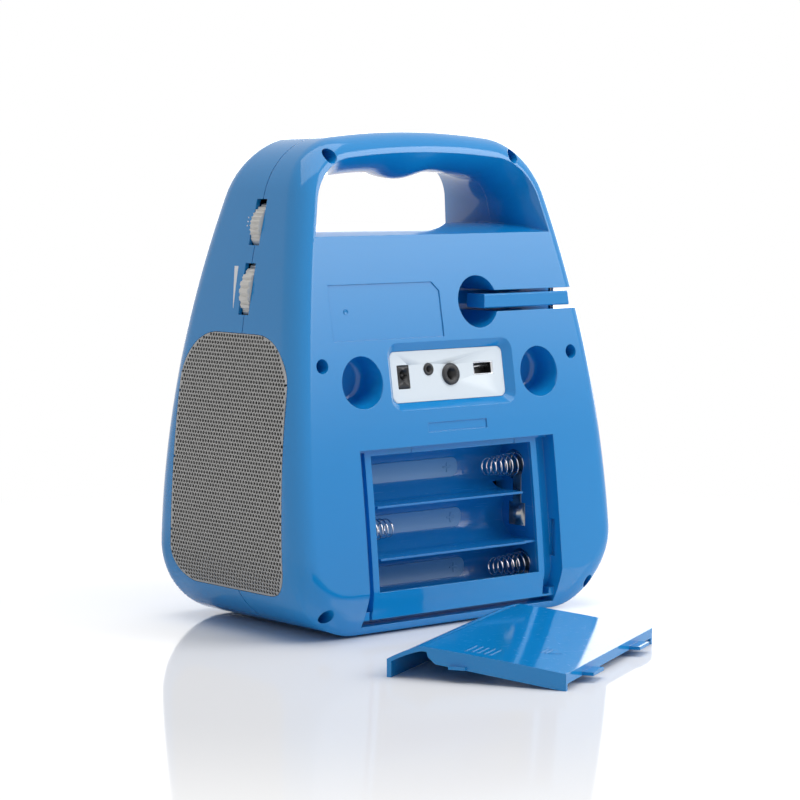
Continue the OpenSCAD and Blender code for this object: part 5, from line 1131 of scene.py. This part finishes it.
# Drawn or plated metal: streaks along one way, spots of oxide, soft edges
def metalGroup():
    tree, w, given, out = newGroup("workedMetal", [
        ("Colour", "NodeSocketColor", (0.7, 0.7, 0.7, 1)), ("Roughness", "NodeSocketFloat", 0.25),
        ("Streaks", "NodeSocketFloat", 0.15), ("Oxide", "NodeSocketFloat", 0.15),
        ("Bump", "NodeSocketFloat", 0.00002), ("Edge Radius", "NodeSocketFloat", 0.0002)],
        [("Colour", "NodeSocketColor"), ("Roughness", "NodeSocketFloat"), ("Normal", "NodeSocketVector")])
    g = given.outputs
    streak = w.noise(30.0, 4.0, (60.0, 4.0, 4.0))
    spots = w.ramp(w.noise(240.0, 5.0, rough=0.7), 0.55, 0.75)
    dull = w.add("ShaderNodeHueSaturation", {"Color": g["Colour"], "Saturation": 1.3, "Value": 0.5}).outputs[0]
    w.put(w.mix(w.maths("MULTIPLY", spots, g["Oxide"]), g["Colour"], dull), out.inputs["Colour"])
    rough = w.maths("ADD", g["Roughness"], w.maths("MULTIPLY", w.maths("SUBTRACT", streak, 0.5), g["Streaks"]))
    w.put(w.maths("ADD", rough, w.maths("MULTIPLY", w.maths("MULTIPLY", spots, g["Oxide"]), 0.5), True),
          out.inputs["Roughness"])
    rounded = w.add("ShaderNodeBevel", {"Radius": g["Edge Radius"]}, samples=4).outputs[0]
    bump = w.add("ShaderNodeBump", {"Height": streak, "Distance": g["Bump"], "Normal": rounded})
    w.put(bump.outputs[0], out.inputs["Normal"])
    return tree


moulded = mouldedGroup()
worked = metalGroup()


def shaderOf(material):
    return Wiring(material.node_tree), material.node_tree.nodes["Principled BSDF"]


def finish(name, group, colour, values, **shader):
    material = bpy.data.materials.new(name)
    material.use_nodes = True
    w, bsdf = shaderOf(material)
    effect = w.add("ShaderNodeGroup", node_tree=group)
    effect.inputs["Colour"].default_value = (*colour, 1)
    for key, value in values.items():
        effect.inputs[key].default_value = value
    for label, socket in (("Colour", "Base Color"), ("Roughness", "Roughness"), ("Normal", "Normal")):
        w.put(effect.outputs[label], bsdf.inputs[socket])
    for key, value in shader.items():
        bsdf.inputs[key].default_value = value
    return material


def plastic(name, colour, rough, scratches=0.3, grain=0.00001, scale=900.0, edge=0.0004, light=0.2, drift=0.06,
            **shader):
    return finish(name, moulded, colour, {
        "Gloss Roughness": rough, "Scratches": scratches, "Grain Depth": grain, "Grain Scale": scale,
        "Edge Radius": edge, "Edge Light": light, "Drift": drift}, **shader)


def metal(name, colour, rough, streaks=0.15, oxide=0.15, edge=0.0002, bump=0.00001):
    return finish(name, worked, colour, {"Roughness": rough, "Streaks": streaks, "Oxide": oxide,
                                         "Edge Radius": edge, "Bump": bump}, Metallic=1.0)


blue = (0.006, 0.25, 0.62)
shellPlastic = plastic("blueShellPlastic", blue, rough=0.085, scratches=0.25, grain=0.000004, scale=500.0,
                       edge=0.0005)
coverPlastic = plastic("blueCoverPlastic", blue, rough=0.08, scratches=0.7, grain=0.000004, scale=500.0,
                       edge=0.0004)
armPlastic = plastic("blueArmPlastic", (0.014, 0.26, 0.64), rough=0.14, scratches=0.4, grain=0.000008,
                     scale=700.0, edge=0.0003)
# The bay's blue is the shell blue made darker: painted shade for the recess
bayShadedPlastic = plastic("bluePlasticBayShaded", (0.008, 0.2, 0.54), rough=0.16, scratches=0.4, grain=0.00001,
                     scale=600.0, edge=0.0004)
bayFrost = plastic("bluePlasticFrosted", (0.12, 0.34, 0.62), rough=0.42, scratches=0.4, grain=0.00004,
                   scale=1500.0, edge=0.0003)
doorPlastic = plastic("blueDoorPlastic", (0.01, 0.235, 0.6), rough=0.1, scratches=0.4, grain=0.000005,
                      scale=500.0, edge=0.0006)
ivory = plastic("ivoryWheelPlastic", (0.7, 0.68, 0.64), rough=0.32, scratches=0.5, grain=0.00002, scale=1200.0,
                edge=0.00025, light=0.1)
panelWhite = plastic("whitePanelPlastic", (0.74, 0.81, 0.86), rough=0.36, scratches=0.3, grain=0.00002,
                     scale=2200.0, edge=0.0003, light=0.0, drift=0.02)
blackPlastic = plastic("blackPlastic", (0.012, 0.012, 0.013), rough=0.38, scratches=0.5, grain=0.00003,
                       scale=1600.0, edge=0.0003, light=0.5)
trayPlastic = plastic("blackTrayPlastic", (0.014, 0.014, 0.016), rough=0.3, scratches=0.5, grain=0.00003,
                      scale=1100.0, edge=0.0004, light=0.5)
greyRim = plastic("greyJackPlastic", (0.03, 0.031, 0.034), rough=0.34, scratches=0.4, grain=0.00002,
                  scale=1600.0, edge=0.0003)
silver = plastic("silverPaintPlastic", (0.52, 0.53, 0.55), rough=0.3, scratches=0.3, grain=0.00001,
                 scale=1900.0, edge=0.0003, light=0.0, drift=0.02, Metallic=0.55)
nylon = plastic("whiteNylon", (0.78, 0.78, 0.73), rough=0.42, scratches=0.2, grain=0.00001, scale=900.0,
                edge=0.00015)
rubber = plastic("footRubber", (0.02, 0.02, 0.021), rough=0.78, scratches=0.4, grain=0.00006, scale=800.0,
                 edge=0.0004, light=0.4)
# Black sheet inside the grilles: painted shade
shadeSheetBlack = plastic("blackShadeSheet", (0.006, 0.006, 0.006), rough=0.9, scratches=0.1, grain=0.00008,
                scale=1800.0, edge=0.0002, light=0.0)
paint = plastic("grillePaint", (0.4, 0.395, 0.385), rough=0.42, scratches=0.4, grain=0.00002, scale=2400.0,
                edge=0.00012, light=0.1, drift=0.03, Metallic=0.25)
chrome = metal("springSteel", (0.72, 0.72, 0.74), rough=0.16, streaks=0.1, oxide=0.25, edge=0.0001)
nickel = metal("nickelPlate", (0.4, 0.39, 0.37), rough=0.3, streaks=0.2, oxide=0.3)
bright = metal("brightSteel", (0.68, 0.69, 0.71), rough=0.18, streaks=0.15, oxide=0.1)
zinc = metal("zincScrew", (0.42, 0.42, 0.43), rough=0.34, streaks=0.2, oxide=0.4)
sheetMetal = metal("platedSheet", (0.58, 0.58, 0.56), rough=0.36, streaks=0.35, oxide=0.3, edge=0.0002,
                   bump=0.00003)
iron = plastic("ferriteMagnet", (0.045, 0.044, 0.043), rough=0.6, scratches=0.6, grain=0.00008, scale=700.0,
               edge=0.0006, light=0.6)


# Solder mask over square tracks, with tinned pads
def boardMaterial():
    material = plastic("circuitBoard", (0.02, 0.15, 0.06), 0.28, 0.4, 0.00001, 900.0, 0.0001, 0.0)
    w, bsdf = shaderOf(material)
    group = bsdf.inputs["Base Color"].links[0].from_node
    place = w.add("ShaderNodeTexCoord").outputs["Object"]
    tracks = w.add("ShaderNodeTexVoronoi", {"Vector": place, "Scale": 210.0}, distance="CHEBYCHEV",
                   feature="F1").outputs["Distance"]
    lines = w.maths("PINGPONG", w.maths("MULTIPLY", tracks, 3.0), 0.5)
    traced = w.ramp(lines, 0.2, 0.3)
    colour = w.mix(traced, group.outputs["Colour"], (0.045, 0.26, 0.1, 1))
    pads = w.add("ShaderNodeTexVoronoi", {"Vector": place, "Scale": 260.0, "Randomness": 0.7}).outputs["Distance"]
    pad = w.ramp(pads, 0.2, 0.16)
    w.put(w.mix(pad, colour, (0.62, 0.6, 0.54, 1)), bsdf.inputs["Base Color"])
    w.put(pad, bsdf.inputs["Metallic"])
    return material


def coneMaterial():
    material = plastic("conePaper", (0.03, 0.03, 0.032), 0.75, 0.3, 0.00012, 1400.0, 0.0004, 0.0)
    w, bsdf = shaderOf(material)
    fibres = w.noise(300.0, 6.0, (1.0, 3.0, 1.0), 0.8)
    w.put(w.mix(w.ramp(fibres, 0.5, 0.75), (0.02, 0.02, 0.022, 1), (0.07, 0.068, 0.065, 1)),
          bsdf.inputs["Base Color"])
    return material


# See-through plastic: rough only where it is scuffed
def clearMaterial(name, colour, rough, ior):
    material = bpy.data.materials.new(name)
    material.use_nodes = True
    w, bsdf = shaderOf(material)
    scuffs = w.ramp(w.noise(70.0, 3.0, (1.0, 30.0, 20.0)), 0.66, 0.74)
    bsdf.inputs["Base Color"].default_value = (*colour, 1)
    w.put(w.maths("ADD", w.maths("MULTIPLY", scuffs, 0.12), rough), bsdf.inputs["Roughness"])
    bsdf.inputs["Transmission Weight"].default_value = 1.0
    bsdf.inputs["IOR"].default_value = ior
    return material


boards = boardMaterial()
paper = coneMaterial()
windowClear = clearMaterial("clearWindow", (0.8, 0.88, 0.95), 0.02, 1.46)
lensGlass = plastic("coatedLens", (0.09, 0.03, 0.2), rough=0.04, scratches=0.1, grain=0.000002, scale=500.0,
                    edge=0.0002, light=0.0)
displayDark = plastic("displayGlass", (0.012, 0.018, 0.022), rough=0.05, scratches=0.3, grain=0.000002,
                      scale=500.0, edge=0.0003, light=0.1)
printWhite = plastic("printedWhite", (0.82, 0.84, 0.86), rough=0.4, scratches=0.2, grain=0.00001, scale=1500.0,
                     edge=0.00005, light=0.0, drift=0.02)
print("materials ready")


slotOf = {part["node"]: part["material_slot"] for part in frame["record"]["subparts"]}
bodyOf = {node: body for body, nodes in frame["record"]["behaviour"]["bodies"].items() for node in nodes}


# The piece stands for a node, on its body
def stand(piece, material, node):
    return dress(piece, material, bodyOf[node], slotOf[node], node)


def extra(piece, material, body, slotName):
    return dress(piece, material, body, slotName)


stand(smooth(makeRearShell(), 30), shellPlastic, "rear_shell")
print("rear shell made")
stand(smooth(makeFrontShell(), 30), shellPlastic, "front_shell")
print("front shell made")
# The battery box wears the darker blue of painted shade
frostMarks(stand(smooth(makeBatteryBox(), 30), bayShadedPlastic, "battery_box"), bayFrost)
for name, node, row, side in (("upperSpring", "upper_spring", 2, -1), ("middleSpring", "middle_spring", 1, 1),
                              ("lowerSpring", "lower_spring", 0, -1)):
    stand(makeSpring(name, row, side), chrome, node)
print("battery bay made")

punching = punchTree()
stand(makeGrille("rightGrille", 1, punching, paint), paint, "right_grille")
stand(makeGrille("leftGrille", -1, punching, paint), paint, "left_grille")
# Black sheets behind the grilles stand in for the shade there
for name, side in (("rightCloth", 1), ("leftCloth", -1)):
    extra(smooth(makeShadeSheet(name, side), 30), shadeSheetBlack, "cabinet", "cone_paper")
print("grilles punched")
stand(makeVolumeWheel(), ivory, "volume_wheel")
stand(makeFunctionWheel(), ivory, "function_wheel")
stand(makeHolder(), armPlastic, "microphone_holder")


# The loose cover, with an arrow mark and grip ribs on its face

# A low mark on the back surface; outline is in (x, z)
def raised(name, outline, up, sink=0.6):
    n = len(outline)
    points = [(x, backY(z) - sink, z) for x, z in outline] + [(x, backY(z) + up, z) for x, z in outline]
    return solid(name, points, loftFaces(2, n) + [tuple(range(n)), tuple(range(n, 2 * n))])


def bar(x0, x1, z, h, n=12):
    xs = spread(x0, x1, n)
    return [(x, z - h / 2) for x in xs] + [(x, z + h / 2) for x in reversed(xs)]


def makeMarkedCover():
    piece = makeCover()
    m = coverMarks
    up = m["raise"]
    x, z, s = m["arrowX"], m["arrowZ"], m["arrowSize"]
    fuse(piece, raised("arrow", [(x - s * 0.6, z), (x + s * 0.6, z), (x, z + s * 0.6)], up))
    for k in (0, 1):
        fuse(piece, raised("stem", bar(x - s * 0.6, x + s * 0.6, z - 1.6 - 2.2 * k, 0.9), up))
    for k in range(m["ribs"]):
        rib = bar(m["ribX"], m["ribX"] + m["ribLength"], m["ribZ"] + k * m["ribPitch"], 0.9)
        fuse(piece, raised("gripRib", rib, up))
    return layCover(piece)


stand(smooth(makeMarkedCover(), 30), coverPlastic, "battery_cover")
print("cover made")


# Printed marks beside the wheels: three dots and a tapering wedge
sidePrints = {"dotY": -9.9, "dotZ": [226.7, 224.5, 222.3], "dotRadius": 0.5,
              "wedgeTop": 200.4, "wedgeFoot": 177.5, "topFrontY": -15.2, "topBackY": -11.7, "footY": -10.8,
              "footWidth": 0.3, "up": 0.03}


def sidePrint(name, rings):
    n = len(rings[0])
    points, faces = [], []
    for ring in rings:
        points += [(sideX(z) + sidePrints["up"], y, z) for y, z in ring]
        points += [(sideX(z) - 0.4, y, z) for y, z in reversed(ring)]
    count = 2 * n
    faces = loftFaces(len(rings), count) + [tuple(range(count)), tuple(range(len(points) - count, len(points)))]
    return solid(name, points, faces)


def makeSidePrints():
    p = sidePrints
    rows = []
    for z in spread(p["wedgeTop"], p["wedgeFoot"], 24):
        t = (p["wedgeTop"] - z) / (p["wedgeTop"] - p["wedgeFoot"])
        y0 = p["topFrontY"] + (p["footY"] - p["footWidth"] - p["topFrontY"]) * t
        y1 = p["topBackY"] + (p["footY"] - p["topBackY"]) * t
        rows.append([(y0, z), (y1, z)])
    parts = [sidePrint("wedge", rows)]
    for z in p["dotZ"]:
        parts.append(rod("dot", "X", (0, p["dotY"], z), p["dotRadius"], sideX(z) - 0.4, sideX(z) + p["up"] + 0.02, 24))
    return joined("sidePrints", parts)


extra(makeSidePrints(), printWhite, "cabinet", "white_panel")

# Jack panel
stand(softCopy("jack_panel", "jackPanelPlate"), panelWhite, "jack_panel")
stand(softCopy("power_inlet", "powerInletBody"), blackPlastic, "power_inlet")
stand(softCopy("phone_jack", "phoneJackBody"), blackPlastic, "phone_jack")
port = {"x": -26.2, "up": 2.3, "width": 14.4, "height": 6.9, "metal": 0.4,
        "liningBack": 12, "liningFront": 5.2, "liningWall": 0.25, "corner": 0.3}


# A block inside the port's metal shell, seen from the back
def makePortInside(name, deep0, deep1, inset):
    p = port
    less = 2 * (p["metal"] + 0.02 + inset)
    return slab(name, p["width"] - less, p["height"] - less, p["corner"], deep0, deep1,
                onRear(0, jackPlace["z"]), -p["x"], p["up"])


lining = makePortInside("portLining", -port["liningBack"], -port["liningFront"], 0)
cut(lining, makePortInside("portRoom", 1 - port["liningBack"], 0, port["liningWall"]))
extra(lining, blackPlastic, "cabinet", "black_plastic")
micJack = stand(softCopy("microphone_jack", "microphoneJackBody"), blackPlastic, "microphone_jack")
stand(softCopy("memory_port", "memoryPortShell"), bright, "memory_port")


# Gives the faces between two radii about an axis another finish
def ringed(piece, centre, axis, inner, outer, material):
    piece.data.materials.append(material)
    for face in piece.data.polygons:
        off = face.center / mm - centre
        r = (off - axis * off.dot(axis)).length
        if inner < r < outer:
            face.material_index = 1


jackRing = {"x": 1.7, "inner": 4.4, "outer": 6.5}
jackAxis = (onRear(0, jackPlace["z"]).to_3x3() @ Vector((0, 0, 1))).normalized()
ringed(micJack, onRear(0, jackPlace["z"]) @ Vector((jackRing["x"], 0, 0)), jackAxis,
       jackRing["inner"], jackRing["outer"], greyRim)

# Speakers
for side in ("left", "right"):
    stand(softCopy(side + "_speaker_frame", side + "Basket"), sheetMetal, side + "_speaker_frame")
    stand(softCopy(side + "_speaker_cone", side + "Cone", 60), paper, side + "_speaker_cone")
    stand(softCopy(side + "_magnet", side + "MagnetRing"), iron, side + "_magnet")
print("jacks and speakers dressed")

# Front: door, window, tray and drive. A low angle keeps a dish apart from its flat rim.
softAngle = {"disc_door": 8, "disc_tray": 8}
for node, name, material in (
        ("disc_door", "discDoorLid", doorPlastic), ("door_window", "doorWindowPane", windowClear),
        ("door_pin", "doorPinRod", bright), ("holder_pin", "holderPinRod", bright),
        ("disc_tray", "discTrayWell", trayPlastic), ("turntable", "turntableHub", trayPlastic),
        ("spindle_motor", "spindleMotorCan", bright), ("laser_sled", "laserSledBlock", blackPlastic),
        ("laser_lens", "laserLensDrop", lensGlass), ("guide_rods", "guideRodPair", bright),
        ("sled_pinion", "sledPinionGear", nylon), ("sled_motor", "sledMotorCan", bright),
        ("loader_deck", "loaderDeckPlate", sheetMetal), ("display_window", "displayPane", displayDark),
        ("function_switch", "functionSwitchCan", blackPlastic), ("volume_control", "volumeControlCan", blackPlastic),
        ("upper_left_contact", "upperLeftPlate", nickel), ("lower_left_contact", "lowerLeftPlate", nickel),
        ("upper_right_contact", "upperRightPlate", nickel), ("lower_right_contact", "lowerRightPlate", nickel)):
    copy = softCopy(node, name, softAngle.get(node, 32))
    if node == "door_window":
        copy.data.shade_flat()
    stand(copy, material, node)
for node in ("jack_board", "control_board", "main_board", "key_board", "display_board"):
    held = frame["nodes"][node]
    held.data.materials.clear()
    held.data.materials.append(boards)


def makeButton(name, x, z):
    b = buttons
    r, e, top = b["radius"], b["edge"], b["out"]
    flange = b["flange"]
    dish = [(top - b["dish"] * (1 - (u / (r - 1.2)) ** 2), u) for u in spread(r - 1.2, 0, 8)]
    profile = [(-b["boardDeep"] + b["travel"] + 0.3, 0), (-b["boardDeep"] + b["travel"] + 0.3, 3),
               (-flange - 1.4, 3), (-flange - 1.4, r + 1.2), (-flange, r + 1.2), (-flange, r), (top - e, r),
               (top - e * 0.3, r - e * 0.3), (top, r - e)] + dish
    return smooth(lathe(name, "Z", (0, 0, 0), profile, 96, onFront(x, z)))


for i, name in enumerate(("back", "stop", "play", "next")):
    stand(makeButton(name + "ButtonCap", *keySpots[i]), silver, name + "_button")
stand(makeButton("openButtonCap", *upperSpots[0]), silver, "open_button")
stand(makeButton("powerButtonCap", *upperSpots[1]), silver, "power_button")

# Screws and feet
placing = scatterTree()
caseSpots = [((x, screwWells["floor"], z), (0, 1, 0)) for x, z in wellSpots()]
stand(scatter("caseScrewSet", placing, makeScrew(caseScrew), caseSpots, zinc), zinc, "case_screws")


def frontSpot(x, z, deep):
    place = onFront(x, z)
    return tuple(place @ Vector((0, 0, -deep))), tuple(place.to_3x3() @ Vector((0, 0, -1)))


board = {"x": 52, "low": 107, "high": 206, "y": 7, "thick": 1.6}
boardSpots = [((s * (board["x"] - 5), board["y"] - board["thick"], z), (0, -1, 0))
              for s in (-1, 1) for z in (board["low"] + 5, board["high"] - 5)]
for s in (-1, 1):
    boardSpots.append(frontSpot(s * (buttons["upperX"] + buttons["postOut"]), buttons["upperZ"],
                                buttons["boardDeep"] + board["thick"]))
    boardSpots.append(frontSpot(s * (1.5 * buttons["keyPitch"] + buttons["postOut"]), buttons["keyZ"],
                                buttons["boardDeep"] + board["thick"]))
for x, z in ((-13, -3), (5, -11.2)):
    boardSpots.append(((volumeX + x, wheels["controlY"] + 0.8, volumeAxisZ + z), (0, 1, 0)))
stand(scatter("boardScrewSet", placing, makeScrew(boardScrew), boardSpots, zinc), zinc, "board_screws")
footPoints = [((x, y, 0), (0, 0, 1)) for x, y in footSpots]
stand(scatter("footSet", placing, makeFoot(), footPoints, rubber), rubber, "rubber_feet")
print("front, screws and feet dressed")


# Floor, light and camera
studio = {"floorSize": 12.0, "floorGloss": 0.14, "floorTone": 0.9, "nearWhite": 0.3, "farWhite": 0.58,
          "world": 0.3, "lens": 120.68, "azimuth": 39.75, "drop": 5.133, "camera": (0.9718, 1.1738, 0.25865)}


def lookedAt(w):
    path = w.add("ShaderNodeLightPath").outputs
    return w.maths("MAXIMUM", path["Is Camera Ray"],
                   w.maths("MAXIMUM", path["Is Glossy Ray"], path["Is Transmission Ray"]))


def makeFloor():
    half = studio["floorSize"] / 2
    mesh = bpy.data.meshes.new("studioFloor")
    mesh.from_pydata([(-half, -half, 0), (half, -half, 0), (half, half, 0), (-half, half, 0)], [], [(0, 1, 2, 3)])
    floor = linked("studioFloor", mesh)
    material = bpy.data.materials.new("studioFloor")
    material.use_nodes = True
    w = Wiring(material.node_tree)
    material.node_tree.nodes.clear()
    out = w.add("ShaderNodeOutputMaterial")
    tone = studio["floorTone"]
    matt = w.add("ShaderNodeBsdfDiffuse", {"Color": (tone, tone, tone * 1.02, 1)})
    gloss = w.add("ShaderNodeBsdfGlossy", {"Color": (1, 1, 1, 1), "Roughness": 0.07})
    near = w.add("ShaderNodeMixShader", {0: studio["floorGloss"], 1: matt.outputs[0], 2: gloss.outputs[0]})
    spot = w.add("ShaderNodeTexCoord").outputs["Object"]
    away = w.add("ShaderNodeVectorMath", {0: spot}, operation="LENGTH").outputs["Value"]
    white = w.add("ShaderNodeEmission", {"Color": (1, 1, 1, 1), "Strength": 1.0})
    far = w.maths("MULTIPLY", w.ramp(away, studio["nearWhite"], studio["farWhite"]), lookedAt(w))
    both = w.add("ShaderNodeMixShader", {0: far, 1: near.outputs[0], 2: white.outputs[0]})
    w.put(both.outputs[0], out.inputs["Surface"])
    mesh.materials.append(material)


# Each lamp: place, aim, size, power, and the share of its height over which it fades out at the foot
lamps = {"rightBank": {"place": (-1.3, 1.5, 1.05), "aim": (0, 0, 0.2), "size": (1.5, 1.7), "power": 33, "fade": 0.55},
         "topBank": {"place": (0.1, 0.2, 1.7), "aim": (0, 0, 0.1), "size": (1.6, 1.6), "power": 16, "fade": 0},
         "leftFill": {"place": (1.7, -0.2, 0.7), "aim": (0, 0, 0.12), "size": (1.0, 1.4), "power": 0.1, "fade": 0},
         "backBank": {"place": (-1.7, -1.5, 0.5), "aim": (0, 0, 0.1), "size": (2.4, 0.9), "power": 15, "fade": 0}}


def areaLight(name, lamp):
    data = bpy.data.lights.new(name, "AREA")
    data.shape = "RECTANGLE"
    data.size, data.size_y = lamp["size"]
    data.energy = lamp["power"]
    made = linked(name, data)
    made.location = lamp["place"]
    made.visible_camera = False
    made.rotation_euler = (Vector(lamp["aim"]) - Vector(lamp["place"])).to_track_quat("-Z", "Y").to_euler()
    if lamp["fade"]:
        data.use_nodes = True
        w = Wiring(data.node_tree)
        data.node_tree.nodes.clear()
        up = w.add("ShaderNodeSeparateXYZ", {0: w.add("ShaderNodeNewGeometry").outputs["Parametric"]}).outputs[1]
        light = w.add("ShaderNodeEmission", {"Color": (1, 1, 1, 1), "Strength": w.ramp(up, 0.0, lamp["fade"])})
        w.put(light.outputs[0], w.add("ShaderNodeOutputLight").inputs["Surface"])


def makeWorld():
    world = bpy.data.worlds.new("studioWorld")
    bpy.context.scene.world = world
    world.use_nodes = True
    w = Wiring(world.node_tree)
    world.node_tree.nodes.clear()
    light = w.add("ShaderNodeBackground", {"Color": (0.96, 0.98, 1, 1), "Strength": studio["world"]})
    white = w.add("ShaderNodeBackground", {"Color": (1, 1, 1, 1), "Strength": 1.0})
    both = w.add("ShaderNodeMixShader", {0: lookedAt(w), 1: light.outputs[0], 2: white.outputs[0]})
    w.put(both.outputs[0], w.add("ShaderNodeOutputWorld").inputs["Surface"])


def makeCamera():
    data = bpy.data.cameras.new("photoCamera")
    data.lens = studio["lens"]
    data.sensor_width = 36
    data.clip_end = 50
    camera = linked("photoCamera", data)
    a, d = math.radians(studio["azimuth"]), math.radians(studio["drop"])
    camera.location = studio["camera"]
    look = Vector((-math.sin(a) * math.cos(d), -math.cos(a) * math.cos(d), -math.sin(d)))
    camera.rotation_euler = look.to_track_quat("-Z", "Y").to_euler()
    bpy.context.scene.camera = camera


makeFloor()
makeWorld()
for name, lamp in lamps.items():
    areaLight(name, lamp)
makeCamera()
bpy.context.scene.view_settings.view_transform = "Standard"
print("scene ready")
